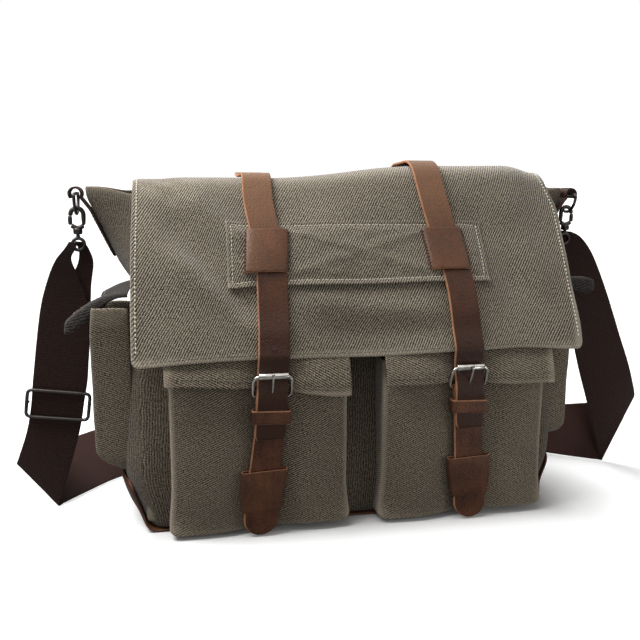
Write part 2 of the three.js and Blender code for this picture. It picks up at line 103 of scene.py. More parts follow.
LEATHER = 2.6
STRAP_HALF = 13
STRAP_LIFT = 2.1
HOLE_Z = 161
WEBBING = 1.8

BUCKLE_LOW, BUCKLE_HIGH = span("left_buckle_frame")
BAR = 1.6
HEEL = Vector((0, BUCKLE_HIGH.y - BAR, BUCKLE_LOW.z + BAR))
ROLLER = Vector((0, *centre("left_buckle_roller").yz))
ROLLER_RADIUS = 3
CHAPE_FRONT = HEEL.y - 1.3


# ---------------------------------------------------------------- small geometry helpers


def between(low, high, share):
    return low + (high - low) * share


def smoothstep(low, high, value):
    share = min(max((value - low) / (high - low), 0), 1)
    return share * share * (3 - 2 * share)


def even(start, end, count):
    """Values from start to end with count equal steps."""
    return [between(start, end, i / count) for i in range(count + 1)]


def steps(start, end, size):
    """Values from start to end, spaced by about size."""
    return even(start, end, max(1, round(abs(end - start) / size)))


def ripple(point, size, seed):
    """Smooth noise from -1 to 1 with features of the given size."""
    return noise.noise(Vector(point) / size + Vector((seed * 7.3, seed * 3.1, seed * 1.7)))


def rounded(corners, radius, count=6):
    """The line through the corners, each inner corner bent over a stretch of the given radius."""
    corners = [Vector(c) for c in corners]
    points = [corners[0]]
    for before, corner, after in zip(corners, corners[1:], corners[2:]):
        arrive = corner + (before - corner).normalized() * radius
        leave = corner + (after - corner).normalized() * radius
        points += [arrive.lerp(corner, t).lerp(corner.lerp(leave, t), t) for t in even(0, 1, count)]
    points.append(corners[-1])
    return points


def curved(points, count=8):
    """A smooth line through every point."""
    points = [Vector(p) for p in points]
    padded = [2 * points[0] - points[1]] + points + [2 * points[-1] - points[-2]]
    line = []
    for a, b, c, d in zip(padded, padded[1:], padded[2:], padded[3:]):
        for t in even(0, 1, count)[:-1]:
            square = (2 * a - 5 * b + 4 * c - d) * t * t
            cube = (3 * b - a - 3 * c + d) * t ** 3
            line.append(0.5 * (2 * b + (c - a) * t + square + cube))
    line.append(points[-1])
    return line


def arc(middle, radius, start, end, count, a, b):
    """Points of an arc in the plane of the unit vectors a and b, angles in degrees."""
    angles = [math.radians(angle) for angle in even(start, end, count)]
    return [middle + radius * (math.cos(t) * a + math.sin(t) * b) for t in angles]


def circle(middle, radius, count, a, b):
    return arc(middle, radius, 0, 360, count, a, b)[:-1]


def rectangle(middle, half_a, half_b, corner, count, a, b):
    """A closed rectangle with rounded corners in the plane of the unit vectors a and b."""
    line = []
    for k, (sign_a, sign_b) in enumerate(((1, -1), (1, 1), (-1, 1), (-1, -1))):
        bend = middle + a * sign_a * (half_a - corner) + b * sign_b * (half_b - corner)
        line += arc(bend, corner, -90 + 90 * k, 90 * k, count, a, b)
    return line


class Path:
    """A line in space, read by the distance along it."""

    def __init__(self, points):
        self.points = [Vector(p) for p in points]
        self.marks = [0.0]
        for a, b in zip(self.points, self.points[1:]):
            self.marks.append(self.marks[-1] + (b - a).length)
        self.length = self.marks[-1]

    def at(self, distance):
        i = bisect.bisect_right(self.marks, distance, 1, len(self.marks) - 1) - 1
        share = (distance - self.marks[i]) / max(self.marks[i + 1] - self.marks[i], 1e-9)
        return self.points[i].lerp(self.points[i + 1], share)

    def direction(self, distance, reach=1.0):
        return (self.at(distance + reach) - self.at(distance - reach)).normalized()


def stray(name, z):
    """How far a leather strap wanders off its straight line at a height."""
    if name == "left":
        foot = 4 * smoothstep(35, 100, z) - 1.5 * smoothstep(170, 230, z)
        return foot - 10 * smoothstep(222, 290, z)
    return -11 * smoothstep(200, 302, z)


def strap_x(name, z):
    """Where the middle of a leather strap stands at a height: the straps spread on their way down."""
    high = centre(f"{name}_flap_keeper")
    low = centre(f"{name}_snap_sleeve")
    return high.x + (low.x - high.x) * (high.z - z) / (high.z - low.z) + stray(name, z)


# ---------------------------------------------------------------- meshes and pieces


class Skin:
    """Faces gathered for one mesh: points in millimetres, UVs in metres along the cloth."""

    def __init__(self):
        self.points = []
        self.faces = []
        self.uvs = []
        self.slots = []

    def rows(self, rows, closed=False, turned=False):
        """Quads between neighbouring rows of points. Turned cloth has its weave the other way."""
        count = len(rows[0])
        first = len(self.points)
        middle = rows[len(rows) // 2]
        across = Path(middle + middle[:1]).marks
        down = Path([row[0 if turned else count // 2] for row in rows]).marks
        for row in rows:
            self.points.extend(row)
        for j in range(len(rows) - 1):
            for i in range(count if closed else count - 1):
                near, far = first + j * count, first + (j + 1) * count
                k = (i + 1) % count
                self.faces.append((near + i, near + k, far + k, far + i))
                corners = ((i, j), (i + 1, j), (i + 1, j + 1), (i, j + 1))
                uvs = [(across[a] * MM, down[b] * MM) for a, b in corners]
                self.uvs.append([uv[::-1] for uv in uvs] if turned else uvs)
                self.slots.append(0)
        return self

    def cap(self, row):
        """One face over a closed row of points."""
        first = len(self.points)
        self.points.extend(row)
        self.faces.append(tuple(range(first, first + len(row))))
        self.uvs.append([(p.x * MM, p.z * MM) for p in row])
        self.slots.append(0)

    def tube(self, line, radius, closed=False, sides=10):
        """A round wire along a line."""
        points = [Vector(p) for p in line]
        count = len(points)
        rows = []
        side = None
        for i, point in enumerate(points):
            before = points[i - 1] if closed or i else point
            after = points[(i + 1) % count] if closed or i < count - 1 else point
            along = (after - before).normalized()
            if side is None:
                side = along.orthogonal().normalized()
            side = (side - along * side.dot(along)).normalized()
            rows.append(circle(point, radius, sides, side, along.cross(side)))
        if closed:
            shift = max(range(sides), key=lambda k: -(rows[0][k] - rows[-1][0]).length)
            rows.append(rows[0][shift:] + rows[0][:shift])
        self.rows(rows, closed=True)
        if not closed:
            self.cap(rows[0])
            self.cap(rows[-1][::-1])
        return self


def welded(mesh, behind):
    """Joins a mesh's patches and turns its faces outwards, or away from the point behind."""
    work = bmesh.new()
    work.from_mesh(mesh)
    bmesh.ops.remove_doubles(work, verts=work.verts, dist=1e-6)
    bmesh.ops.recalc_face_normals(work, faces=work.faces)
    if behind is not None:
        origin = Vector(behind) * MM
        away = sum(f.normal.dot(f.calc_center_median() - origin) * f.calc_area() for f in work.faces)
        if away < 0:
            bmesh.ops.reverse_faces(work, faces=work.faces)
    work.to_mesh(mesh)
    work.free()


def placed(name, data):
    """A new object in the scene."""
    obj = bpy.data.objects.new(name, data)
    bpy.context.scene.collection.objects.link(obj)
    return obj


def make(name, skin, finishes, behind=None, wall=0.0, level=1):
    """An object from a skin, its faces turned away from the point behind and thickened inwards by wall.

    A second finish is for the cut edges.
    """
    mesh = bpy.data.meshes.new(name)
    mesh.from_pydata([p * MM for p in skin.points], [], skin.faces)
    layer = mesh.uv_layers.new(name="cloth")
    layer.data.foreach_set("uv", [c for face in skin.uvs for uv in face for c in uv])
    mesh.polygons.foreach_set("material_index", skin.slots)
    mesh.polygons.foreach_set("use_smooth", [True] * len(skin.faces))
    welded(mesh, behind)
    for finish in finishes:
        mesh.materials.append(finish)
    obj = placed(name, mesh)
    if wall:
        solid = obj.modifiers.new("wall", "SOLIDIFY")
        solid.thickness = wall * MM
        solid.offset = -1
        solid.material_offset_rim = len(finishes) - 1
    if level:
        smooth = obj.modifiers.new("smooth", "SUBSURF")
        smooth.levels = level
        smooth.render_levels = level
    return obj


def wear_and_painted_light(obj, amount):
    """Marks how pale each point is: 1 pale by wear, and on some pieces by a painted highlight; -1 dark by
    painted shade.
    """
    layer = obj.data.attributes.new("wear_and_painted_light", "FLOAT", "POINT")
    layer.data.foreach_set("value", [amount(v.co / MM) for v in obj.data.vertices])


def crumple(obj, height, size, seed, fade=lambda place: 1):
    """Moves points along their normals by smooth noise of two sizes."""
    mesh = obj.data
    normals = [v.normal.copy() for v in mesh.vertices]
    for vertex, normal in zip(mesh.vertices, normals):
        place = vertex.co / MM
        move = ripple(place, size, seed) + 0.4 * ripple(place, size / 2.6, seed + 1)
        vertex.co += normal * height * fade(place) * move * MM
    mesh.update()


def settle(obj, body, slot, *nodes):
    """The piece moves with a body and stands for CAD nodes; its slot is not used."""
    if body:
        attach(obj, body)
    if nodes:
        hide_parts(*nodes)
    return obj


def piece(node, skin, finishes, body, slot, wear_and_light=None, **form):
    """The visible form of one CAD node."""
    obj = make(f"fine_{node}", skin, finishes, **form)
    if wear_and_light:
        wear_and_painted_light(obj, wear_and_light)
    return settle(obj, body, slot, node)


def stitch(skin, middle, along, normal, half, width):
    """One stitch: a short thread that dips into the cloth at both ends."""
    rows = []
    for share, height, girth in ((-1, -0.25, 0.5), (-0.6, 0.3, 1), (0.6, 0.3, 1), (1, -0.25, 0.5)):
        here = middle + along * half * share + normal * height * width
        rows.append(circle(here, width * girth, 6, along.cross(normal), normal))
    skin.rows(rows, closed=True)


def sewn(name, lines, cloth, toward, thread, body, slot, pitch=3.8, length=2.7, width=0.42):
    """A piece of stitches along lines, each stitch lying on the cloth's finished surface.

    Rays from outside find that surface. Toward says where outside is: a direction, or one for each point.
    """
    graph = bpy.context.evaluated_depsgraph_get()
    graph.update()
    tree = BVHTree.FromObject(cloth, graph)
    skin = Skin()
    for path in map(Path, lines):
        for k in range(int(path.length / pitch)):
            mark = (k + 0.5) * pitch
            here = path.at(mark)
            ray = Vector(toward(here) if callable(toward) else toward).normalized()
            hit, normal, _, _ = tree.ray_cast((here + ray * 25) * MM, -ray)
            if hit is None:
                continue
            normal = normal if normal.dot(ray) > 0 else -normal
            along = path.direction(mark, pitch / 2)
            along = (along - normal * along.dot(normal)).normalized()
            stitch(skin, hit / MM, along, normal, length / 2, width)
    return settle(make(f"{name}_stitches", skin, [thread], level=0), body, slot)


# ---------------------------------------------------------------- materials


class Nodes:
    """Shorthand for the node tree of a material or a world."""

    def __init__(self, block):
        block.use_nodes = True
        self.block = block
        self.tree = block.node_tree

    def add(self, kind, inputs=None, **settings):
        node = self.tree.nodes.new(kind)
        for key, value in settings.items():
            setattr(node, key, value)
        for key, value in (inputs or {}).items():
            self.feed(node.inputs[key], value)
        return node

    def feed(self, socket, value):
        if isinstance(value, bpy.types.NodeSocket):
            self.tree.links.new(value, socket)
        elif socket.type == "RGBA":
            socket.default_value = (*value, 1)
        else:
            socket.default_value = value

    def math(self, operation, *values):
        return self.add("ShaderNodeMath", dict(enumerate(values)), operation=operation).outputs[0]

    def total(self, base, *terms):
        """The base plus, for each (value, gain), how far the value is from 0.5 times its gain."""
        for value, gain in terms:
            base = self.math("MULTIPLY_ADD", self.math("SUBTRACT", value, 0.5), gain, base)
        return base

    def clamp(self, value):
        return self.add("ShaderNodeClamp", {0: value}).outputs[0]

    def mix(self, share, a, b, blend="MIX"):
        node = self.add("ShaderNodeMix", {0: share}, data_type="RGBA", blend_type=blend)
        self.feed(node.inputs[6], a)
        self.feed(node.inputs[7], b)
        return node.outputs[2]

    def shaded(self, dark, light, base, *terms):
        """A colour from dark to light, by a total."""
        return self.mix(self.clamp(self.total(base, *terms)), dark, light)

    def place(self, kind="Object"):
        return self.add("ShaderNodeTexCoord").outputs[kind]

    def stretch(self, vector, turn, scale):
        inputs = {"Vector": vector, "Rotation": (0, 0, math.radians(turn)), "Scale": scale}
        return self.add("ShaderNodeMapping", inputs).outputs[0]

    def noise(self, vector, scale, detail=2.0):
        inputs = {"Vector": vector, "Scale": scale, "Detail": detail}
        return self.add("ShaderNodeTexNoise", inputs).outputs["Fac"]

    def waves(self, vector, turn, pitch, wobble=0.0, wobble_size=0.01):
        """Ridges from 0 to 1 across a direction, one every pitch metres, wandering by wobble ridges."""
        turned = self.stretch(vector, turn, (1, 1, 1))
        across = self.add("ShaderNodeSeparateXYZ", {0: turned}).outputs[0]
        wander = self.math("MULTIPLY", self.noise(vector, 1 / wobble_size, 1.0), wobble)
        ridges = self.math("ADD", self.math("DIVIDE", across, pitch), wander)
        sine = self.math("SINE", self.math("MULTIPLY", ridges, math.tau))
        return self.math("MULTIPLY_ADD", sine, 0.5, 0.5)

    def wear_and_light(self, gain):
        """The mark of wear and painted light, times a gain, kept from 0 to 1."""
        mark = self.add("ShaderNodeAttribute", attribute_name="wear_and_painted_light").outputs["Fac"]
        return self.clamp(self.math("MULTIPLY", mark, gain))

    def bump(self, height, distance, strength):
        inputs = {"Height": height, "Distance": distance, "Strength": strength}
        self.set(Normal=self.add("ShaderNodeBump", inputs).outputs[0])

    def set(self, **inputs):
        """Feeds the surface shader and gives the material."""
        shader = self.tree.nodes["Principled BSDF"]
        for key, value in inputs.items():
            self.feed(shader.inputs[key.replace("_", " ")], value)
        return self.block


def surface(name):
    return Nodes(bpy.data.materials.new(name))


def twill(name, dark, light, pitch, turn, wobble, wobble_size, ridges=1.0, sheen=0.4):
    """Canvas in a twill weave of dark and light yarns, its ridges more or less marked."""
    n = surface(name)
    uv = n.place("UV")
    ridge = n.waves(uv, turn, pitch, wobble, wobble_size)
    pick = n.waves(uv, turn + 78, pitch * 0.62, 0.5, wobble_size)
    yarn = n.noise(n.stretch(uv, turn, (1.5 / pitch, 0.7 / pitch, 1)), 1.0, 1.0)
    speck = n.noise(uv, 1.9 / pitch, 1.0)
    colour = n.shaded(dark, light, 0.42, (yarn, 1.5), (ridge, ridges), (pick, 0.3), (speck, 2.8))
    patch = n.total(1.0, (n.noise(uv, 14, 3.0), 0.5))
    patches = n.add("ShaderNodeCombineColor", {0: patch, 1: patch, 2: patch}).outputs[0]
    colour = n.mix(1.0, colour, patches, "MULTIPLY")
    # Paler where marked: worn hems and edges, and along the flap's crest a painted highlight.
    faded_and_lit = [min(1, 1.35 * c + 0.03) for c in light]
    n.bump(n.total(0, (yarn, 0.5), (pick, 0.25), (ridge, 0.6)), 0.0005, 0.8)
    return n.set(Base_Color=n.mix(n.wear_and_light(0.7), colour, faded_and_lit), Roughness=0.92, Sheen_Weight=sheen,
                 Sheen_Roughness=0.45, Specular_IOR_Level=0.2)


def leather(name, dark, light, roughness=0.42):
    """Waxed full-grain leather, paler and yellower by wear and by painted highlights, darker by painted
    shade.
    """
    n = surface(name)
    at = n.place()
    mottle = n.noise(at, 38, 4.0)
    streak = n.noise(n.stretch(at, 0, (220, 220, 30)), 1.0, 3.0)
    cells = n.add("ShaderNodeTexVoronoi", {"Vector": at, "Scale": 750.0}, feature="SMOOTH_F1")
    pores = cells.outputs["Distance"]
    colour = n.shaded(dark, light, 0.36, (mottle, 2.2), (streak, 0.8), (pores, -0.9))
    # Pale by rubbing wear, and on the straps' tops and one keeper's side a painted highlight.
    rubbed_and_lit = [1.35 * c + pale for c, pale in zip(light, (0.075, 0.072, 0.046))]
    colour = n.mix(n.wear_and_light(0.6), colour, rubbed_and_lit)
    # Darker where the mark is below zero: painted shade on the billets.
    colour = n.mix(n.wear_and_light(-1.0), colour, [0.75 * c for c in dark])
    n.bump(n.total(0, (n.noise(at, 420, 4.0), 0.6), (pores, -0.6)), 0.0006, 0.8)
    return n.set(Base_Color=colour, Roughness=n.total(roughness + 0.025, (mottle, 0.25)),
                 Specular_IOR_Level=0.34, Coat_Weight=0.04, Coat_Roughness=0.35)


def raw_leather(name):
    """The cut edge of the leather: undyed fibres."""
    n = surface(name)
    at = n.place()
    colour = n.mix(n.noise(at, 120, 2.0), (0.28, 0.12, 0.06), (0.50, 0.26, 0.15))
    n.bump(n.noise(at, 900, 3.0), 0.0003, 0.6)
    return n.set(Base_Color=colour, Roughness=0.8, Specular_IOR_Level=0.2)


def ribbed(name, dark, light):
    """Woven cotton webbing: ribs across it, held by fine cords along it."""
    n = surface(name)
    uv = n.place("UV")
    rib = n.waves(uv, 90, 0.0017, 0.25, 0.03)
    cord = n.waves(uv, 0, 0.0012, 0.2, 0.03)
    fuzz = n.noise(n.stretch(uv, 0, (500, 1400, 1)), 1.0, 3.0)
    colour = n.shaded(dark, light, 0.35, (rib, 0.5), (fuzz, 2.2), (cord, 0.2))
    colour = n.mix(n.wear_and_light(0.8), colour, [2.6 * c for c in light])
    n.bump(n.total(0, (cord, 0.4), (rib, 0.7)), 0.0006, 0.9)
    return n.set(Base_Color=colour, Roughness=0.85, Sheen_Weight=0.08, Sheen_Roughness=0.5,
                 Specular_IOR_Level=0.15)


def metal(name, dark, light, roughness):
    """Plated steel with faint scratches and a little wear."""
    n = surface(name)
    at = n.place()
    smear = n.noise(at, 160, 4.0)
    n.bump(n.noise(n.stretch(at, 20, (4000, 300, 4000)), 1.0, 2.0), 0.00004, 0.5)
    return n.set(Base_Color=n.mix(smear, dark, light), Metallic=1.0,
                 Roughness=n.total(roughness + 0.025, (smear, 0.25)))


def plain_cloth(name, dark, light, pitch, roughness=0.9):
    """A fine square weave for what is inside the bag."""
    n = surface(name)
    uv = n.place("UV")
    warp, weft = (n.waves(uv, turn, pitch, 0.3, 0.02) for turn in (0, 90))
    weave = n.math("MULTIPLY", warp, weft)
    colour = n.shaded(dark, light, 0.65, (weave, 0.4), (n.noise(uv, 500, 2.0), 0.9))
    n.bump(weave, 0.0003, 0.7)
    return n.set(Base_Color=colour, Roughness=roughness, Sheen_Weight=0.1)


def sewing_thread(name, dark, light):
    n = surface(name)
    ply = n.noise(n.stretch(n.place(), 30, (1500, 3000, 3000)), 1.0, 2.0)
    n.bump(ply, 0.0002, 0.7)
    return n.set(Base_Color=n.mix(ply, dark, light), Roughness=0.7, Sheen_Weight=0.2)


def fibre_board(name):
    n = surface(name)
    flecks = n.noise(n.place(), 700, 4.0)
    n.bump(flecks, 0.0003, 0.6)
    return n.set(Base_Color=n.mix(flecks, (0.02, 0.018, 0.016), (0.07, 0.062, 0.055)), Roughness=0.75)


FLAP_CLOTH = twill("flap_canvas", (0.024, 0.019, 0.012), (0.39, 0.336, 0.258), pitch=0.0020, turn=-29.0,
                   wobble=1.8, wobble_size=0.05, ridges=1.4)
BODY_CLOTH = twill("body_canvas", (0.030, 0.024, 0.016), (0.20, 0.166, 0.124), pitch=0.0022, turn=3.0,
                   wobble=1.6, wobble_size=0.014, ridges=0.8, sheen=0.15)
POCKET_CLOTH = twill("pocket_canvas", (0.018, 0.014, 0.009), (0.35, 0.292, 0.216), pitch=0.0017, turn=66.0,
                     wobble=1.8, wobble_size=0.022, ridges=1.1, sheen=0.2)
# A much darker copy of the canvas for the side flaps: painted shade, as they hang in shadow.
PAINTED_SHADE_CLOTH = twill("canvas_painted_shade", (0.014, 0.012, 0.011), (0.075, 0.066, 0.062), pitch=0.0016, turn=30.0,
                   wobble=0.6, wobble_size=0.02, ridges=0.6, sheen=0.1)
LEATHER_SKIN = leather("brown_leather", (0.042, 0.013, 0.005), (0.130, 0.046, 0.020))
# Dark leather for the ring tabs; the same finish is the painted shade inside the strap holes.
DARK_LEATHER_AND_HOLE_SHADE = leather("dark_leather_and_hole_shade", (0.022, 0.009, 0.007), (0.055, 0.022, 0.016), 0.5)
RAW_EDGE = raw_leather("leather_edge")
STRAP_CLOTH = ribbed("shoulder_webbing", (0.012, 0.005, 0.004), (0.050, 0.026, 0.022))
LINING_CLOTH = plain_cloth("lining_cotton", (0.10, 0.085, 0.06), (0.30, 0.255, 0.185), 0.0009)
SLEEVE_CLOTH = plain_cloth("sleeve_nylon", (0.06, 0.055, 0.048), (0.16, 0.148, 0.13), 0.0006, 0.7)
BOARD = fibre_board("base_board_fibre")
NICKEL = metal("nickel_plate", (0.26, 0.235, 0.21), (0.92, 0.89, 0.84), 0.15)
GUNMETAL = metal("gunmetal_plate", (0.035, 0.031, 0.029), (0.13, 0.12, 0.115), 0.36)
LIGHT_THREAD = sewing_thread("light_thread", (0.52, 0.47, 0.38), (0.88, 0.82, 0.70))
DARK_THREAD = sewing_thread("dark_thread", (0.012, 0.006, 0.004), (0.04, 0.018, 0.012))
CANVAS_THREAD = sewing_thread("canvas_thread", (0.13, 0.11, 0.08), (0.26, 0.22, 0.17))
EDGED_LEATHER = [LEATHER_SKIN, RAW_EDGE]


# ---------------------------------------------------------------- body shell


def front_at(z):
    """How far forward the body's front stands: bellied out low down, leaning back above the waist."""
    belly = BELLY * smoothstep(150, 25, z)
    return FRONT - belly + max(z - WAIST, 0) * MOUTH_LEAN / (HEM - WAIST)


def gusset_reach(z, across):
    """How far the gusset is pulled out by its ring, across running from front to back."""
    tent = 1 - max(abs(2 * across - 1) - 0.2, 0) / 0.8
    pull = (RIDGE_REACH + 2) * max(z - RIDGE_START, 0) / (RIDGE_TOP - RIDGE_START)
    crease = -4 * math.sin(math.pi * across) * smoothstep(90, 180, z) * smoothstep(230, 200, z)
    return pull * tent + crease


def gusset_swell(side, z, across):
    """How far an end of the body stands out low down: narrow on the floor, full at the side pockets."""
    below_flap = smoothstep(175, 120, z)
    barrel = 1 - abs(2 * across - 1) ** 5
    roundness = 9 if side < 0 else 2
    swell = 7 * smoothstep(6, 62, z) + roundness * barrel * smoothstep(-4, 26, z)
    return swell * below_flap - 6 * smoothstep(50, 0, z)


def gusset_line(side, z, inset):
    """One level of the gusset, from the front corner to the back corner."""
    front = front_at(z) + BODY_CORNER
    back = BACK - BODY_CORNER
    line = []
    for share in even(0, 1, 22):
        if share < 0.5:
            y = between(front, RIDGE_Y, 2 * share)
        else:
            y = between(RIDGE_Y, back, 2 * share - 1)
        reach = gusset_reach(z, share) + gusset_swell(side, z, share)
        line.append(Vector((side * (BODY_HALF - inset + reach), y, z)))
    return line


def body_level(z, inset):
    """One level of the shell, running round from the front's left end."""
    half = BODY_HALF - BODY_CORNER
    spread = 1 + gusset_swell(1, z, 0) / half
    front = [Vector((x * spread, front_at(z) + inset, z)) for x in steps(-half, half, 6)]
    back = [Vector((x * spread, BACK - inset, z)) for x in steps(half, -half, 9)]
    return front + gusset_line(1, z, inset) + back + gusset_line(-1, z, inset)[::-1]


def body_rim():
    """The mouth of the shell: higher at the back, and pulled up to the rings at both ends."""
    rim = []
    for p in body_level(HEM, 0):
        to_ridge = smoothstep(BODY_HALF - 10, BODY_HALF + 34, abs(p.x)) * (RIDGE_TOP - HEM + 2)
        to_back = smoothstep(40, 60, p.y) * (BACK_TOP - HEM)
        rim.append(p + Z * (to_ridge + to_back))
    return rim


def body_shell():
    """Front, back and both gussets as one lofted shell, open at the mouth."""
    rounding = 7
    low = 3.0
    levels = [low + rounding * (1 - math.cos(t)) for t in steps(0.2, math.pi / 2, 0.25)]
    levels += steps(low + rounding + 5, HEM - 2, 6)
    rows = []
    for z in levels:
        rest = max(low + rounding - z, 0)
        rows.append(body_level(z, rounding - math.sqrt(max(rounding ** 2 - rest ** 2, 0))))
    skin = Skin().rows(rows + [body_rim()], closed=True)
    shell = make("fine_body_shell", skin, [BODY_CLOTH], behind=(0, 0, 140), wall=CANVAS)
    crumple(shell, 1.6, 46, 3, lambda p: smoothstep(40, 70, p.z) * smoothstep(255, 225, p.z))
    wear_and_painted_light(shell, lambda p: 0.5 * smoothstep(279, 286, p.z))
    settle(shell, "root", "canvas", "front_panel", "back_panel", "left_gusset", "right_gusset")


def base_tray():
    """The leather base: flat on the floor, its ends turned up over the gussets."""
    corner = 12
    path = Path(rounded([(-BASE_HALF, 0, BASE_TURN_UP), (-BASE_HALF, 0, 0), (BASE_HALF, 0, 0),
                         (BASE_HALF, 0, BASE_TURN_UP)], 13))
    marks = steps(0, 60, 3) + steps(70, path.length - 70, 12) + steps(path.length - 60, path.length, 3)
    rows = []
    for mark in marks:
        middle = path.at(mark)
        rest = max(corner - min(mark, path.length - mark), 0)
        drawn_in = 1 + corner - math.sqrt(corner ** 2 - rest ** 2) + 8 * smoothstep(2, 16, middle.z)
        row = []
        for share in even(0, 1, 22):
            spread = 1 + gusset_swell(math.copysign(1, middle.x), middle.z, share) / BASE_HALF
            y = between(front_at(middle.z) + drawn_in, BACK - drawn_in, share)
            row.append(Vector((middle.x * spread, y, middle.z)))
        rows.append(row)
    tray = piece("base_panel", Skin().rows(rows), [LEATHER_SKIN], "root", "leather",
                 lambda p: 0.35 * smoothstep(10, 0, p.z), behind=(0, 0, 60), wall=2.4)
    seam_z = BASE_TURN_UP - 3.5
    lines = [[Vector((side * BASE_HALF, y, seam_z)) for y in steps(-46, 46, 4)] for side in (-1, 1)]
    sewn("base_panel", lines, tray, lambda p: X * math.copysign(1, p.x), DARK_THREAD, "root", "leather")


def loose_lining():
    """The lining bag, its side a little in from the shell."""
    gap = CANVAS + 1.6
    half = BODY_HALF - gap - 1
    rows = []
    for z in steps(9, HEM - 3, 8):
        front, back = front_at(z) + gap, BACK - gap
        right = [Vector((half, y, z)) for y in even(front, back, 12)[1:-1]]
        left = [Vector((-p.x, p.y, p.z)) for p in right[::-1]]
        rows.append([Vector((x, front, z)) for x in steps(-half, half, 9)] + right
                    + [Vector((x, back, z)) for x in steps(half, -half, 9)] + left)
    depths = steps(FRONT + gap, BACK - gap, 9)
    skin = Skin().rows(rows, closed=True)
    skin.rows([[Vector((x, y, 8.4)) for x in steps(-half, half, 9)] for y in depths])
    piece("lining", skin, [LINING_CLOTH], "root", "lining", behind=(0, 0, 140), wall=0.8)


def padded_divider():
    """The laptop sleeve's divider: soft foam in cloth, quilted in three channels."""
    low, high = span("laptop_divider")
    middle_y = (low.y + high.y) / 2
    half = (high.y - low.y) / 2 * 0.92

    def puff(x, z):
        edge = min(x - low.x, high.x - x, z - low.z, high.z - z)
        channel = min(abs(x - between(low.x, high.x, k / 3)) for k in (1, 2))
        return (0.25 + 0.75 * math.sqrt(min(edge / 14, 1))) * (0.6 + 0.4 * smoothstep(0, 9, channel))

    skin = Skin()
    for face in (-1, 1):
        rows = []
        for z in steps(low.z, high.z, 7):
            row = [Vector((x, middle_y + face * half * puff(x, z), z)) for x in steps(low.x, high.x, 7)]
            rows.append(row[::-face])
        skin.rows(rows)
    piece("laptop_divider", skin, [SLEEVE_CLOTH], "root", "divider")


# ---------------------------------------------------------------- pockets


class Pouch:
    """A boxed pocket, in its own axes: across, up from the floor, and out from the bag's wall."""

    def __init__(self, place, half, bottom, top, depth, corner, flare=0.0):
        self.place = place
        self.half = half
        self.bottom = bottom
        self.top = top
        self.depth = depth
        self.corner = corner
        self.flare = flare

    def half_at(self, z):
        rest = max(self.bottom + self.corner - z, 0)
        flare = self.flare * smoothstep(self.bottom + 40, self.bottom, z)
        return self.half + flare - self.corner + math.sqrt(max(self.corner ** 2 - rest ** 2, 0))

    def heights(self, size):
        low = self.bottom + self.corner
        curve = [low - self.corner * math.cos(t) for t in steps(0, math.pi / 2, 0.26)]
        return curve[:-1] + steps(low, self.top, size)

    def front(self, size, bulge):
        """Rows of the front face, bottom first."""
        count = round(2 * self.half / size)
        rows = []
        for z in self.heights(size):
            half = self.half_at(z)
            rows.append([self.place(x, z, self.depth + bulge(x, z)) for x in even(-half, half, count)])
        return rows

    def wall(self, front, size):
        """Rows from the front's rim back to the bag, the rim run as a U from top left to top right."""
        rim = [row[0] for row in front[::-1]] + front[0][1:-1] + [row[-1] for row in front]
        root = self.place(0, 0, 0)
        out = (self.place(0, 0, 1) - root).normalized()
        rows = []
        for back in steps(0, self.depth, size):
            share = back / self.depth
            pinch = 1.4 * math.sin(math.pi * share) - 1.2 * smoothstep(0, 0.25, share)
            row = []
            for p in rim:
                inward = self.place(0, self.bottom + 50, 0) - p
                inward = (inward - out * inward.dot(out)).normalized()
                row.append(p - out * out.dot(p - root) * share - inward * pinch)
            rows.append(row)
        return rows

    def skin(self, bulge):
        """A crowned front and a gusset, seamed along the front's rim."""
        front = self.front(5, bulge)
        return Skin().rows(front).rows(self.wall(front, 4), turned=True)


def front_pocket(name):
    """A cargo pocket, pressed in where the strap runs over it."""
    side = SIDES[name]
    low, high = span(f"{name}_front_pocket")
    middle = (low.x + high.x) / 2 + 2.5 * side
    half = (high.x - low.x) / 2 - 1
    strap = strap_x(name, 70) - middle

    def place(x, z, out):
        lifted = 3.5 * smoothstep(low.z + 40, low.z, z) * smoothstep(-half, half, x)
        return Vector((middle + x, high.y - out, z + lifted))

    def bulge(x, z):
        press = math.exp(-((x - strap) / 24) ** 2)
        crown = 7.5 * (1 - (x / (half + 3)) ** 4) * (1 - abs((z - 62) / 84) ** 3)
        folds = 1.6 * ripple((x, z, side * 40), 36, 5) + 0.7 * ripple((x * 1.6, z * 0.6, side * 90), 17, 8)
        foot = 3.5 * smoothstep(low.z + 16, low.z, z) * (x / half) ** 2
        return (crown + folds) * (1 - press) - 1.2 * press - 2.2 * smoothstep(110, 147, z) + foot

    def wear_and_light(p):
        rim = smoothstep(half - 4, half, abs(p.x - middle)) * smoothstep(low.y + 7, low.y, p.y)
        return 0.75 * rim + 0.4 * smoothstep(12, 3, p.z)

    pouch = Pouch(place, half, low.z, high.z, high.y - low.y, 6, flare=3)
    pocket = piece(f"{name}_front_pocket", pouch.skin(bulge), [POCKET_CLOTH], "root", "canvas", wear_and_light,
                   behind=(middle, -50, 80), wall=1.8)
    hem = [Vector((x, low.y - 5, high.z - 13)) for x in steps(low.x + 4, high.x - 4, 4)]
    sewn(f"{name}_front_pocket", [hem], pocket, -Y, CANVAS_THREAD, "root", "canvas", width=0.35)


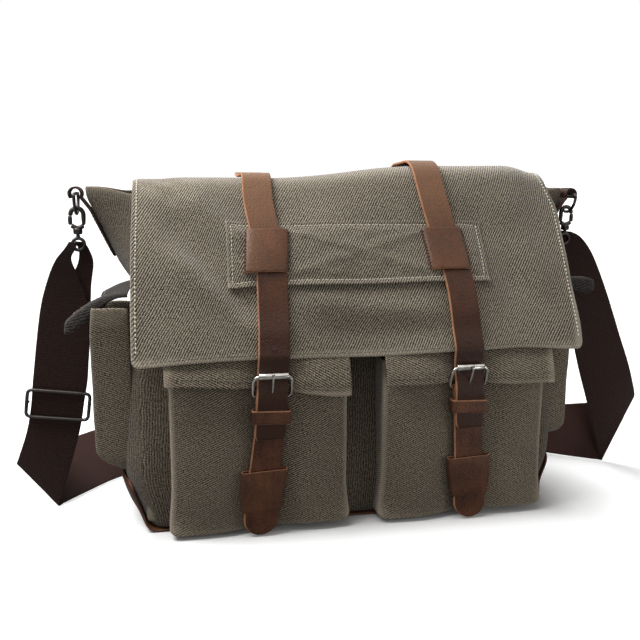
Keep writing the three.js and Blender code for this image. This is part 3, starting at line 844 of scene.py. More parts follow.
def pocket_flap(name):
    """A front pocket's flap: over the pocket's mouth, then down to an uneven lower edge."""
    side = SIDES[name]
    low, high = span(f"{name}_pocket_flap")
    hinge = Vector((0, high.y - 1.2, high.z - 1.6))
    corner = Vector((0, low.y + 5, high.z - 18))
    drop = {"left": (138, 123), "right": (130, 126)}[name]
    overhang = {"left": (-3, -5), "right": (5, 3)}[name]
    columns = steps(low.x + overhang[0], high.x + overhang[1], 4)
    strap = strap_x(name, 140)
    rows_down = 26

    def lower_edge(x):
        return between(*drop, smoothstep(low.x, high.x, x))

    def point(x, j):
        bottom = lower_edge(x) + 0.8 * ripple((x, 0, side * 9), 22, 2)
        free = 1 - math.exp(-((x - strap) / 21) ** 2)
        path = Path(rounded([hinge, corner, Vector((0, corner.y - 6 - 13 * free, bottom))], 9))
        mark = path.length * j / rows_down
        puff = 3.4 * max(math.sin(math.pi * j / rows_down), 0) ** 1.3 * free
        roll = 2.6 * smoothstep(rows_down - 4, rows_down, j)
        slack = 1.1 * ripple((x, mark, 3), 26, side + 4) * free
        along = path.direction(mark)
        return path.at(mark) + X * x + Vector((0, along.z, -along.y)) * (puff + slack - roll)

    def wear_and_light(p):
        return 0.6 * smoothstep(129, 124, p.z) + 0.5 * smoothstep(4, 0, min(p.x - low.x, high.x - p.x))

    node = f"{name}_pocket_flap"
    skin = Skin().rows([[point(x, j) for x in columns] for j in range(rows_down + 1)])
    flap = piece(node, skin, [POCKET_CLOTH], node, "canvas", wear_and_light,
                 behind=(centre(node).x, -20, 120), wall=2.0)
    inset = 4.5
    lines = [[Vector((x, -110, lower_edge(x) + inset)) for x in columns[1:-1]]]
    for x, end in zip((columns[0] + inset, columns[-1] - inset), drop):
        lines.append([Vector((x, -110, z)) for z in steps(158, end + inset, 4)])
    sewn(node, lines, flap, -Y, CANVAS_THREAD, node, "canvas", width=0.35)


def side_pocket(name):
    """An end pocket, higher at its front and tucked in at its foot."""
    side = SIDES[name]
    low, high = span(f"{name}_side_pocket")
    wall_x = BASE_HALF + 0.4
    slim = {"left": 1, "right": 10}[name]
    depth = max(abs(low.x), abs(high.x)) - slim - wall_x
    middle = (low.y + high.y) / 2 - 3
    half = (high.y - low.y) / 2 + 3

    def place(y, z, out):
        lifted = 11 * smoothstep(high.z - 40, high.z, z) * smoothstep(half, -half, y)
        return Vector((side * (wall_x + out), middle + y, z + lifted))

    def bulge(y, z):
        tuck = depth * 0.75 * (1 - smoothstep(low.z, low.z + 26, z)) ** 1.6
        crown = 1.6 * (1 - (y / half) ** 4) * smoothstep(high.z, high.z - 40, z)
        return crown - tuck - 1.5 * smoothstep(high.z - 20, high.z, z) + ripple((y, z, side * 11), 30, 6)

    def wear_and_light(p):
        return 0.3 * smoothstep(high.z - 2, high.z, p.z) + 0.5 * smoothstep(low.z + 3, low.z, p.z)

    pouch = Pouch(place, half, low.z + slim, high.z, depth, 15)
    pocket = piece(f"{name}_side_pocket", pouch.skin(bulge), [POCKET_CLOTH], "root", "canvas", wear_and_light,
                   behind=(side * 150, middle, 120), wall=1.8)
    hem = [Vector((side * 260, y, high.z - 11)) for y in steps(low.y + 3, high.y - 3, 4)]
    sewn(f"{name}_side_pocket", [hem], pocket, X * side, CANVAS_THREAD, "root", "canvas", width=0.35)


def side_flap(name):
    """A side pocket's flap: short behind, its front corner long, with a hem turned down in front."""
    side = SIDES[name]
    low, high = span(f"{name}_side_flap")
    root = min(abs(low.x), abs(high.x))
    cad_reach = high.x - low.x
    reach, full_drop = {"left": (cad_reach - 1, high.z - low.z - 11), "right": (cad_reach - 7, -3)}[name]

    def point(across, out):
        front = smoothstep(0.42, 0.1, across)
        length = between(28, reach, front)
        drop = between(min(12, full_drop + 3), full_drop, front)
        curl = 3.0 * math.sin(math.pi * out) * front
        sag = 1.5 * math.sin(3 * math.pi * across) * out ** 2
        y = between(low.y, high.y, across) - 4 * front * out
        return Vector((side * (root + length * out), y, high.z - 1.2 - drop * out ** 1.5 + curl + sag))

    def hem(out, share):
        fall = between(3, 13, smoothstep(0.1, 0.8, out)) * smoothstep(1.25, 0.85, out)
        return point(0, out) - Y * 2 * math.sin(share * math.pi / 2) - Z * fall * share

    rows = []
    for out in even(0, 1, 16):
        top = [point(across, out) for across in even(0, 1, 26)]
        rows.append([hem(out, share) for share in (1, 0.66, 0.33)] + top)
    skin = Skin().rows(rows)
    # The side flap takes the darker canvas copy: painted shade.
    flap = make(f"fine_{name}_side_flap", skin, [PAINTED_SHADE_CLOTH], behind=(side * 190, 0, 100), wall=2.2)
    crumple(flap, 0.7, 20, 7 + side)
    wear_and_painted_light(flap, lambda p: 0.3 * smoothstep(root + reach - 5, root + reach, abs(p.x)))
    body = f"{name}_side_flap"
    lines = [[point(across, 0.86) + Z * 30 for across in steps(0.06, 0.95, 1 / 24)],
             [point(0.09, out) + Z * 30 for out in steps(0.1, 0.86, 1 / 14)]]
    settle(flap, body, "canvas", body)
    sewn(body, lines, flap, Z, CANVAS_THREAD, body, "canvas", width=0.35)


# ---------------------------------------------------------------- main flap


REAR_TURN = Vector((0, BACK + 3.2, TOP_HIGH.z - 3))
FLAP_LINE = Path(rounded([REAR_TURN - Z * (REAR_TURN.z - 262), REAR_TURN, CREST, FLAP_EDGE], 13, 10))
CREST_AT = min(FLAP_LINE.marks, key=lambda mark: (FLAP_LINE.at(mark) - CREST).length)
REAR_AT = min(FLAP_LINE.marks, key=lambda mark: (FLAP_LINE.at(mark) - REAR_TURN).length)
REAR_SEAM = REAR_AT + 22
FLAP_LENGTH = FLAP_LINE.length

# A point that lies on the inner side of the whole flap.
INSIDE_BAG = (0, 20, 200)

# Each fold of the flap: its start and end, given as x and the distance below the crest, height and width.
FLAP_FOLDS = [
    ((-164, 26), (-84, 140), -8, 14),
    ((-158, 72), (-82, 154), 6.2, 10),
    ((-140, 8), (-96, 74), 5, 9),
    ((-182, 2), (-150, 28), -2.6, 6),
    ((-166, -6), (-132, 26), -2.2, 6),
    ((104, 30), (150, 124), -4, 14),
    ((140, 20), (178, 120), 3, 13),
    ((-60, 120), (70, 134), 3.4, 10),
    ((-50, 146), (90, 150), -2.4, 9),
]


def outward(along):
    """The outward direction of a line that runs over the bag from back to front."""
    return Vector((0, along.z, -along.y))


def flap_normal(mark):
    return outward(FLAP_LINE.direction(mark, 2.0))


def flap_outwards(point):
    """Roughly the flap's outward direction near a point."""
    top = smoothstep(CREST.y - 14, CREST.y + 6, point.y)
    return outward((FLAP_EDGE - CREST).normalized()).lerp(Z, top)


def fold(x, down, start, end, height, width):
    """How high one long soft fold stands at x and a distance below the crest."""
    run = Vector(end) - Vector(start)
    place = Vector((x, down)) - Vector(start)
    share = place.dot(run) / run.length_squared
    aside = (place - run * share).length
    fade = smoothstep(-0.1, 0.25, share) * smoothstep(1.1, 0.8, share)
    return height * fade * math.exp(-(aside / width) ** 2)


def flap_relief(x, mark):
    """How far the flap stands off its plain form: slack on top and bellied on the slope."""
    down = mark - CREST_AT
    on_top = smoothstep(REAR_AT + 6, REAR_AT + 34, mark) * smoothstep(70, -6, down)
    lift = 12 * smoothstep(-70, 80, x) - 3 * smoothstep(-140, -187, x) - 7 * smoothstep(160, 198, x) - 3
    over_top = min(max((mark - REAR_AT) / (CREST_AT - REAR_AT), 0), 1)
    sag = -2.2 * math.sin(math.pi * over_top) * (1 - abs(x) / 260)
    belly = 9 * math.sin(math.pi * min(max(down / (FLAP_LENGTH - CREST_AT), 0), 1))
    waves = 1.6 * ripple((x, mark * 1.3, 0), 58, 11) * (0.4 + smoothstep(8, 40, down))
    across = (x - FLAP_LEFT) / (FLAP_RIGHT - FLAP_LEFT)
    flare = 1.8 * math.sin(across * math.pi * 3.2) * smoothstep(FLAP_LENGTH - 40, FLAP_LENGTH, mark)
    return lift * on_top + sag + belly + waves + flare + sum(fold(x, down, *each) for each in FLAP_FOLDS)


def flap_point(x, mark, lift=0.0):
    """A point of the flap's outer face, or one lifted off it."""
    near_top = smoothstep(FLAP_LENGTH - 20, CREST_AT - 10, mark)
    corner = smoothstep(CREST_AT + 45, CREST_AT, mark)
    drawn_in = 3 * smoothstep(-120, FLAP_LEFT, x) * near_top - 6 * smoothstep(140, FLAP_RIGHT, x) * corner
    drawn_in += 5 * smoothstep(140, FLAP_RIGHT, x) * smoothstep(FLAP_LENGTH - 70, FLAP_LENGTH, mark)
    return FLAP_LINE.at(mark) + X * (x + drawn_in) + flap_normal(mark) * (flap_relief(x, mark) + lift)


def flap_end(x):
    """Where the flap stops at x: a slightly wavy edge with rounded corners."""
    rest = max(FLAP_CORNER - max(min(x - FLAP_LEFT, FLAP_RIGHT - x), 0), 0)
    trim = FLAP_CORNER - math.sqrt(FLAP_CORNER ** 2 - rest ** 2)
    slant = between(3.5, -1.5, (x - FLAP_LEFT) / (FLAP_RIGHT - FLAP_LEFT))
    slant += 5 * smoothstep(130, FLAP_RIGHT, x)
    return FLAP_LENGTH + slant + 1.2 * math.sin(x / 47) - trim


def flap_skin(start, end_of, x_size, rows_count, lift_at=lambda mark: 0):
    """The flap's outer face from a start to where each column ends, its columns closer at both ends."""
    edges = (0, 1.2, 3, 5.5)
    columns = [FLAP_LEFT + edge for edge in edges] + steps(FLAP_LEFT + 9, FLAP_RIGHT - 9, x_size)
    columns += [FLAP_RIGHT - edge for edge in edges[::-1]]
    rows = []
    for share in even(0, 1, rows_count):
        marks = [between(start, end_of(x), share) for x in columns]
        rows.append([flap_point(x, mark, lift_at(mark)) for x, mark in zip(columns, marks)])
    return Skin().rows(rows)


def under_flap(mark):
    """The rear strip lies against the bag's back, then runs under the flap's top."""
    return between(-0.2, -3.0, smoothstep(REAR_AT - 8, REAR_AT + 12, mark))


def blend_rear(obj):
    """Bakes the rear strip's placement into its mesh."""
    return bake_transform(obj)


def blend_fold(obj):
    """Bakes the placement of a piece over the flap's crest into its mesh."""
    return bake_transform(obj)


def rear_strip():
    """The strip that hinges the flap to the bag's back."""
    skin = flap_skin(0, lambda x: REAR_SEAM + 9, 6, 22, under_flap)
    strip = make("fine_flap_rear_strip", skin, [FLAP_CLOTH], behind=INSIDE_BAG, wall=2.0)
    blend_rear(settle(strip, None, "canvas"))


def flap_wear_and_crest_highlight(p):
    sides = smoothstep(2.5, 0, min(p.x - FLAP_LEFT, FLAP_RIGHT - p.x))
    hem = smoothstep(FLAP_EDGE.z + 5, FLAP_EDGE.z - 2, p.z)
    # The pale strip along the crest is a painted highlight; the paler sides and hem are wear.
    crest = 0.25 * math.exp(-((p.y - CREST.y) / 9) ** 2)
    return min(1, 0.7 * max(sides, hem) + crest)


def main_flap():
    """The flap's cloth, pale stitches round it and its darker hem stitches."""
    skin = flap_skin(REAR_SEAM, flap_end, 4, 62)
    flap = make("fine_flap", skin, [FLAP_CLOTH], behind=INSIDE_BAG, wall=2.2)
    wear_and_painted_light(flap, flap_wear_and_crest_highlight)
    blend_fold(settle(flap, None, "canvas", "flap_top_panel", "flap_front_panel"))

    left, right = FLAP_LEFT + STITCH_INSET, FLAP_RIGHT - STITCH_INSET
    down = steps(REAR_SEAM + 4, FLAP_LENGTH - FLAP_CORNER, 4)
    borders = [[flap_point(x, mark, 2) for mark in down] for x in (left, right)]
    borders.append([flap_point(x, REAR_SEAM + 5, 2) for x in steps(left, right, 4)])
    hem = [flap_point(x, flap_end(x) - STITCH_INSET, 2) for x in steps(left + 3, right - 3, 3)]
    seams = (("flap", borders, LIGHT_THREAD, 0.68), ("flap_hem", [hem], CANVAS_THREAD, 0.4))
    for name, lines, thread, width in seams:
        blend_fold(sewn(name, lines, flap, flap_outwards, thread, None, "canvas", 3.5, 2.2, width))


def flap_band():
    """The canvas panel behind the keepers: stitched all round, with cross creases in its middle."""
    low, high = span("flap_band")
    start, end = CREST_AT + 49, CREST_AT + 108
    left, right = low.x - 4, high.x - 1
    middle = (strap_x("left", 240) + strap_x("right", 240)) / 2

    def puff(x, mark):
        u = (x - middle) / 62
        v = (mark - (start + end) / 2) / 27
        cross = math.exp(-((abs(v) - abs(u) * 0.75) / 0.16) ** 2) * smoothstep(1.15, 0.8, abs(u))
        edge = min(x - left, right - x, mark - start, end - mark)
        tail = 2.6 * smoothstep(end - 7, end, mark)
        pad = 1.2 * smoothstep(3, 12, edge) - 0.9 * math.exp(-((edge - 4.5) / 1.3) ** 2)
        pucker = 0.8 * ripple((x, mark * 1.5, 5), 13, 21) * smoothstep(4, 12, edge)
        return 1.9 + pad + 1.5 * cross * smoothstep(6, 14, edge) + tail + pucker

    marks = steps(start, end, 2.2)
    rows = [[flap_point(x, mark, puff(x, mark)) for x in steps(left, right, 2.6)] for mark in marks]
    band = piece("flap_band", Skin().rows(rows), [FLAP_CLOTH], "flap_front", "canvas",
                 lambda p: 0.35 * smoothstep(2, 0, min(p.x - left, right - p.x)),
                 behind=INSIDE_BAG, wall=1.5)
    inset = 4.5
    seam_left, seam_right, seam_top, seam_end = left + inset, right - inset, start + inset, end - inset
    corners = [Vector(corner) for corner in ((seam_left, seam_top), (seam_right, seam_top),
                                             (seam_right, seam_end), (seam_left, seam_end))]
    lines = []
    for here, there in zip(corners, corners[1:] + corners[:1]):
        count = max(2, int((there - here).length / 4))
        lines.append([flap_point(*here.lerp(there, t), 6) for t in even(0, 1, count)])
    sewn("flap_band", lines, band, flap_outwards, LIGHT_THREAD, "flap_front", "canvas", 3.4, 2.4, 0.4)


# ---------------------------------------------------------------- leather straps


def strap_skin(name, points, half_of, size):
    """A leather strip along a line in the YZ plane, half_of its half width along it, its left edge cut."""
    path = Path(points)
    across = (-1, -0.96, -0.6, -0.2, 0.2, 0.6, 0.93, 1)
    rows = []
    for mark in steps(0, path.length, size):
        here = path.at(mark)
        middle = strap_x(name, here.z)
        half = half_of(mark, path.length)
        rows.append([Vector((middle + half * s, here.y, here.z)) for s in across])
    skin = Skin().rows(rows)
    # The faces of the first column, which is the strip's left edge, have the second finish.
    skin.slots[::len(rows[0]) - 1] = [1] * (len(rows) - 1)
    return skin


def upper_strap_line(name):
    """The strap's outer face: from the flap's rear seam over the crest, through the buckle, to its tip."""
    x = strap_x(name, 240)
    line = []
    for mark in steps(REAR_AT + 12, FLAP_LENGTH + 1, 3):
        point = flap_point(x, mark, STRAP_LIFT + LEATHER)
        line.append(Vector((0, point.y, point.z)))
    behind_roller = ROLLER.y + ROLLER_RADIUS + 0.4
    tip_z = span(f"{name}_billet")[0].z - 2
    lower = [(0, behind_roller, ROLLER.z + 4), (0, behind_roller, ROLLER.z - 4)]
    lower += [HEEL + Vector((0, *offset)) for offset in ((-7.2, 3), (-7, -5), (-4.7, -14))]
    lower.append((0, HEEL.y - 4.5, tip_z))
    return line[:-1] + rounded([line[-1]] + lower, 2.5, 4)


def upper_strap(name):
    """The long strap over the flap and through the buckle."""
    skin = strap_skin(name, upper_strap_line(name),
                      lambda mark, length: STRAP_HALF - 2.5 * smoothstep(4, 0, length - mark), 3.0)
    strap = make(f"fine_{name}_strap", skin, EDGED_LEATHER,
                 behind=(strap_x(name, 200), 40, 150), wall=LEATHER - 0.5)
    # Paler where the strap runs over the crest: a painted highlight. Darker on the billet lower down:
    # painted shade.
    wear_and_painted_light(strap, lambda p: smoothstep(225, 295, p.z) - 0.9 * smoothstep(240, 165, p.z))
    blend_fold(settle(strap, None, "leather", f"{name}_strap_top", f"{name}_billet"))


def strap_hole(name):
    """The punched hole that shows below the flap's hem: a dark ring and disc laid on the strap, painted
    shade for its inside.
    """
    share = (CREST.z - HOLE_Z) / (CREST.z - FLAP_EDGE.z)
    mark = between(CREST_AT, FLAP_LENGTH, share)
    where = flap_point(strap_x(name, 240), mark, STRAP_LIFT + LEATHER)
    where.x = strap_x(name, where.z)
    normal = flap_normal(mark)
    up = normal.cross(X)
    hole = Skin().tube(circle(where + normal * 0.1, 1.9, 14, X, up), 0.35, closed=True, sides=6)
    hole.cap(circle(where + normal * 0.12, 1.7, 14, X, up))
    settle(make(f"{name}_strap_holes", hole, [DARK_LEATHER_AND_HOLE_SHADE], level=0), "flap_front", "leather")


def lower_strap(name):
    """The chape: from its rounded tongue up over the buckle's heel bar and down behind."""
    low = span(f"{name}_chape")[0]
    line = [Vector((0, CHAPE_FRONT - 1.2, low.z)), Vector((0, CHAPE_FRONT - 0.6, 30)),
            Vector((0, CHAPE_FRONT, 60)), Vector((0, CHAPE_FRONT, HEEL.z - 7))]
    line += arc(HEEL, 4.1, 200, -20, 10, Y, Z)
    line.append(HEEL + Vector((0, 1.8, -8)))

    def half(mark, _):
        tongue = STRAP_HALF + 1.8 * smoothstep(60, 30, mark)
        return math.sqrt(max(tongue ** 2 - max(tongue - mark, 0) ** 2, 1))

    piece(f"{name}_chape", strap_skin(name, line, half, 2.5), EDGED_LEATHER, "flap_front", "leather",
          lambda p: 0.2 * smoothstep(14, 2, p.z), behind=(strap_x(name, 60), -80, 60), wall=1.9)


def keeper(name):
    """The square leather patch that holds the strap on the flap, sewn down along both sides."""
    low, high = span(f"{name}_flap_keeper")
    half = (high.x - low.x) / 2 + 0.3
    start, end = CREST_AT + 58, CREST_AT + 98
    middle = strap_x(name, 255)

    def point(x, mark, lift):
        leaning = (mark - (start + end) / 2) * 0.08 * SIDES[name]
        return flap_point(middle + leaning, mark, lift) + X * x

    def height(x):
        return 3.0 + (LEATHER + 2.4) * math.sqrt(max(1 - (x / half) ** 4, 0))

    marks = steps(start, end, 2.4)
    rows = [[point(x, mark, height(x)) for x in steps(-half, half, 1.6)] for mark in marks]
    # Evenly a little pale from rubbing; the left keeper paler still towards its left side, a painted
    # highlight.
    patch = piece(f"{name}_flap_keeper", Skin().rows(rows), EDGED_LEATHER, "flap_front", "leather",
                  lambda p: 0.25 + 0.3 * smoothstep(12, -16, p.x - middle) * smoothstep(1, -1, middle),
                  behind=(middle, 20, 200), wall=1.7)
    lines = [[point(s * (half - 1.4), mark, 8) for mark in steps(start + 2, end - 2, 4)] for s in (-1, 1)]
    sewn(f"{name}_flap_keeper", lines, patch, flap_outwards, DARK_THREAD, "flap_front", "leather",
         3.0, 1.8, 0.7)


def band_round(name, half, back, front, bottom, top, corner, slant=0.0, flare=0.0, taper=0.0):
    """A closed loop of leather round a strap, from bottom to top, its top edge a narrow row of faces."""
    rows = []
    for z in steps(bottom, top - 1.1, 2.5) + [top]:
        x = strap_x(name, z)
        share = (z - bottom) / (top - bottom)
        y_front = front - flare * math.sin(math.pi * share)
        middle = Vector((x, (back + y_front) / 2, z))
        loop = rectangle(middle, half - taper * (1 - share) ** 2, (back - y_front) / 2, corner, 4, X, Y)
        row = []
        for here, there in zip(loop, loop[1:] + loop[:1]):
            shares = (0, 0.15, 0.4, 0.6, 0.85) if (there - here).length > 6 else (0,)
            row += [here.lerp(there, t) for t in shares]
        rows.append([p + Z * slant * (p.x - x) / half for p in row])
    return rows


def strap_loop(name):
    """The narrow keeper under the buckle, its top edge cut."""
    node = f"{name}_strap_loop"
    low, high = span(node)
    half = (high.x - low.x) / 2
    rows = band_round(name, half + 1, high.y, low.y, low.z, high.z, 1.9, slant=-0.6)
    skin = Skin().rows(rows, closed=True)
    # The last row of faces, which is the loop's top edge, has the second finish.
    skin.slots[-len(rows[0]):] = [1] * len(rows[0])
    piece(node, skin, EDGED_LEATHER, "flap_front", "leather", lambda p: 0.1, behind=centre(node), wall=1.3)


def snap_sleeve(name):
    """The sleeve on the chape that hides the moving half of the snap."""
    node = f"{name}_snap_sleeve"
    low, high = span(node)
    half = (high.x - low.x) / 2
    rows = band_round(name, half, high.y, low.y - 0.6, low.z, high.z, 1.8, slant=0.9, flare=0.8, taper=3.2)
    sleeve = piece(node, Skin().rows(rows, closed=True), EDGED_LEATHER, "flap_front", "leather",
                   lambda p: 0.1, behind=centre(node), wall=1.3)
    heights = steps(low.z + 3, high.z - 3, 4)
    lines = [[Vector((strap_x(name, z) + s * (half - 3), -120, z)) for z in heights] for s in (-1, 1)]
    sewn(node, lines, sleeve, -Y, DARK_THREAD, "flap_front", "leather", 3.2, 2.2, 0.32)


def buckle(name):
    """A roller buckle: one round wire bent to a rectangle, a roller on its far bar, and a prong."""
    aside = X * stray(name, HEEL.z)
    heel = HEEL + X * centre(f"{name}_buckle_frame").x + aside
    roller = ROLLER + X * centre(f"{name}_buckle_roller").x + aside
    up = ROLLER - HEEL
    half = (BUCKLE_HIGH.x - BUCKLE_LOW.x) / 2 - 1.8
    middle = heel + up / 2
    wire = rectangle(middle, half, up.length / 2, 6, 5, X, up.normalized())
    piece(f"{name}_buckle_frame", Skin().tube(wire, 1.55, closed=True), [NICKEL], "flap_front", "nickel")

    outer, bore, reach = ROLLER_RADIUS - 0.1, 1.9, 12.2
    profile = [(-reach, bore), (-reach, outer - 0.5), (-reach + 0.5, outer), (reach - 0.5, outer),
               (reach, outer - 0.5), (reach, bore), (-reach, bore)]
    skin = Skin().rows([circle(roller + X * x, radius, 20, Y, Z) for x, radius in profile], closed=True)
    piece(f"{name}_buckle_roller", skin, [NICKEL], f"{name}_roller", "nickel", level=0)

    pin_heel = HEEL + X * centre(f"{name}_buckle_prong").x + aside
    pin_roller = pin_heel + up - Y * (ROLLER_RADIUS + 0.8)
    arm = [pin_heel + Vector((0, -4.3, 4)), Vector((pin_heel.x, pin_heel.y - 8.8, ROLLER.z - 8)),
           pin_roller + Vector((0, -0.9, -1)), pin_roller + Vector((0, -0.5, 3))]
    line = arc(pin_heel, 2.6, -60, 200, 10, Y, Z) + curved(arm, 5)
    piece(f"{name}_buckle_prong", Skin().tube(line, 1.15), [NICKEL], f"{name}_prong", "nickel")


# ---------------------------------------------------------------- rings, hooks and shoulder strap


def d_ring(name):
    """A round bar bent to a D, its straight side on top."""
    node = f"{name}_d_ring"
    low, high = span(node)
    radius = (high.y - low.y) / 2 - 1.7
    bar = Vector(((low.x + high.x) / 2, RIDGE_Y, high.z - 1.7))
    bow = arc(bar - Z * 0.8, radius, 190, 350, 24, Y, Z)
    corners = rounded([bow[-1], bar + Y * radius, bar - Y * radius, bow[0]], 2.5, 4)
    piece(node, Skin().tube(bow + corners[1:-1], 1.5, closed=True), [GUNMETAL], node, "gunmetal")


def ring_tab(name):
    """The leather tab on the gusset's fold that holds the D-ring in its eye."""
    side = SIDES[name]
    node = f"{name}_ring_tab"
    low, high = span(f"{name}_d_ring")
    ring = Vector(((low.x + high.x) / 2, 0, high.z - 1.7))
    half = 8.5
    foot_z = span(node)[0].z + 1
    outer_x = BODY_HALF + 2.8
    line = [Vector((side * (outer_x + gusset_reach(z, 0.5)), 0, z)) for z in steps(foot_z, 270, 10)]
    line += arc(ring, 4.6, 225 if side > 0 else -45, -50 if side > 0 else 230, 14, X, Z)
    path = Path(line)
    rows = []
    for mark in steps(0, path.length, 2.2):
        width = math.sqrt(max(half ** 2 - max(half - mark, 0) ** 2, 1))
        rows.append([path.at(mark) + Y * (RIDGE_Y + y * width) for y in (-1, -0.92, -0.4, 0.4, 0.92, 1)])
    tab = piece(node, Skin().rows(rows), [DARK_LEATHER_AND_HOLE_SHADE], "root", "leather",
                behind=(side * 190, RIDGE_Y, 240), wall=1.9)
    lines = [[path.at(m) + Y * (RIDGE_Y + y) + X * side * 10 for m in steps(6, 44, 4)] for y in (-6, 6)]
    sewn(node, lines, tab, X * side, DARK_THREAD, "root", "leather", 3.2, 2.2, 0.32)


def snap_hook(name):
    """A round bar bent over to its mouth, on a turned barrel."""
    node = f"{name}_snap_hook"
    low, high = span(node)
    bend = 5.4
    mouth = SIDES[name] * bend
    barrel = Vector((centre(f"{name}_swivel_eye").x, RIDGE_Y, low.z))
    top = Vector((barrel.x, RIDGE_Y, high.z - 1.2 - bend))
    line = [barrel + Vector((-mouth, 0, 7)), top - X * mouth]
    line += arc(top, bend, 180 if mouth > 0 else 0, 0 if mouth > 0 else 180, 12, X, Z)
    line.append(top + Vector((mouth, 0, -1.4)))
    shoulder = [barrel + Vector((-mouth, 0, 7.6)), barrel + Z * 5.6, barrel + Vector((mouth, 0, 7.8))]
    skin = Skin().tube(line, 2.1).tube(curved(shoulder, 5), 2.2)
    profile = [(0, 0.1), (0, 3.4), (0.8, 4.1), (4.8, 4.1), (5.8, 3.4), (7, 0.1)]
    skin.rows([circle(barrel + Z * z, radius, 18, X, Y) for z, radius in profile], closed=True)
    piece(node, skin, [GUNMETAL], f"{name}_hook", "gunmetal")


def hook_gate(name):
    """The sprung gate with its thumb stud."""
    node = f"{name}_hook_gate"
    low, high = span(node)
    stud = Vector(((low.x + high.x) / 2, RIDGE_Y, low.z + 3))
    skin = Skin().tube([Vector((stud.x, RIDGE_Y, z)) for z in steps(low.z - 1, high.z + 1, 2)], 1.9)
    skin.tube([stud, stud + X * SIDES[name] * 2.2], 1.0, sides=8)
    piece(node, skin, [GUNMETAL], f"{name}_gate", "gunmetal")


def swivel_eye(name):
    """The eye that the webbing runs through, on the pin that turns in the hook's barrel."""
    node = f"{name}_swivel_eye"
    middle = Vector((centre(node).x, RIDGE_Y, span(node)[0].z + 9.4))
    pin_top = span(f"{name}_snap_hook")[0].z + 0.8
    skin = Skin().tube(circle(middle, 5.2, 26, X, Z), 1.6, closed=True)
    skin.tube([middle + Z * 4.6, Vector((middle.x, RIDGE_Y, pin_top))], 2.0)
    piece(node, skin, [GUNMETAL], "shoulder_strap", "gunmetal")


# The strap's outer and inner edge at places from hook to hook: two diagonal folds on the floor.
WEBBING_EDGES = [
    ((-241, 2, 243), (-234, 2, 242)), ((-246, 2, 236), (-236, 2, 236)), ((-254, 3, 226), (-240, 3, 227)),
    ((-262, 5, 208), (-234, 5, 208)), ((-270, 6, 180), (-228, 6, 182)), ((-279, 6, 123), (-231, 6, 125)),
    ((-283, 6, 93), (-236, 6, 96)), ((-288, 6, 70), (-242, 6, 66)), ((-296, 5, 47), (-257, 0, 16)),
    ((-298, 5, 41), (-262, -4, 1)), ((-294, 10, 42), (-258, 0, 1)), ((-268, 42, 43), (-240, 22, 1)),
    ((-236, 74, 45), (-212, 52, 1)), ((-185, 88, 48), (-172, 72, 1)), ((0, 92, 49), (0, 83, 1)),
    ((190, 86, 49), (182, 76, 1)), ((236, 66, 48), (224, 54, 1)), ((290, 38, 56), (264, 26, 1)),
    ((331, 20, 65), (291, 9, 1)), ((336, 18, 67), (295, 6, 2)), ((334, 16, 76), (291, 8, 14)),
    ((322, 12, 106), (275, 9, 66)), ((308, 11, 138), (261, 8, 106)), ((293, 9, 172), (248, 7, 150)),
    ((280, 8, 200), (239, 7, 185)), ((266, 7, 226), (230, 8, 215)), ((252, 6, 242), (225, 9, 238)),
    ((240, 5, 247), (223, 10, 250)),
]

# The same for the strap's own end, doubled back behind it from the left hook to the slider.
WEBBING_END_EDGES = [
    ((-237, 8, 243), (-229, 8, 242)), ((-234, 9, 234), (-225, 9, 235)),
    ((-236, 9.5, 222), (-222, 9.5, 223)), ((-247, 9.5, 200), (-225, 9.5, 202)),
    ((-258, 9.5, 170), (-227, 9.5, 172)), ((-273, 9.5, 136), (-230, 9.5, 138)),
    ((-280, 9.5, 112), (-233.5, 9.5, 113)),
]


def webbing_piece(name, edges):
    """A woven band between its two edges."""
    outer, inner = (curved(line, 8) for line in zip(*edges))
    across = (0, 0.02, 0.15, 0.33, 0.5, 0.67, 0.85, 0.98, 1)
    rows = [[a.lerp(b, t) for t in across] for a, b in zip(outer, inner)]
    band = make(name, Skin().rows(rows), [STRAP_CLOTH], wall=WEBBING)
    band.modifiers["wall"].offset = 0
    # Paler towards the back of the bag.
    wear_and_painted_light(band, lambda p: 0.8 * smoothstep(0, 45, p.y))
    return band


def shoulder_strap():
    """The webbing, as one band from hook to hook, standing on its edge behind the bag."""
    band = webbing_piece("fine_shoulder_webbing", WEBBING_EDGES)
    settle(band, "shoulder_strap", "webbing", "shoulder_webbing")
    end = webbing_piece("shoulder_webbing_end", WEBBING_END_EDGES)
    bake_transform(settle(end, None, "webbing"))


def strap_slider():
    """A three-bar slider bent from round bar, one bar behind the webbing."""
    low, high = span("strap_slider")
    middle = (low + high) / 2
    tilt = math.atan2(14, 105)
    along = Vector((math.sin(tilt), 0, math.cos(tilt)))
    across = Vector((math.cos(tilt), 0, -math.sin(tilt)))
    half_w, half_h = 27.2, 12.6
    front = Vector((middle.x, low.y + BAR, middle.z))
    back = Vector((middle.x, high.y - BAR, middle.z))
    skin = Skin().tube(rectangle(front, half_w, half_h, 4, 5, across, along), 1.7, closed=True)
    skin.tube([front - across * half_w, back - across * (half_w - 1)], 1.7)
    skin.tube([back - across * half_w, back + across * half_w], BAR)
    skin.tube([front + across * half_w, back + across * (half_w - 1)], 1.7)
    piece("strap_slider", skin, [GUNMETAL], "slider", "gunmetal")


# ---------------------------------------------------------------- CAD nodes that stay, and the stage


def finish_kept_nodes():
    """The snaps and the base board keep their CAD shape and get their finish here."""
    kept = {"base_board": BOARD}
    for name in SIDES:
        kept[f"{name}_snap_socket"] = NICKEL
        kept[f"{name}_snap_stud"] = NICKEL
    for node, finish in kept.items():
        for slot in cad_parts[node].material_slots:
            slot.material = finish


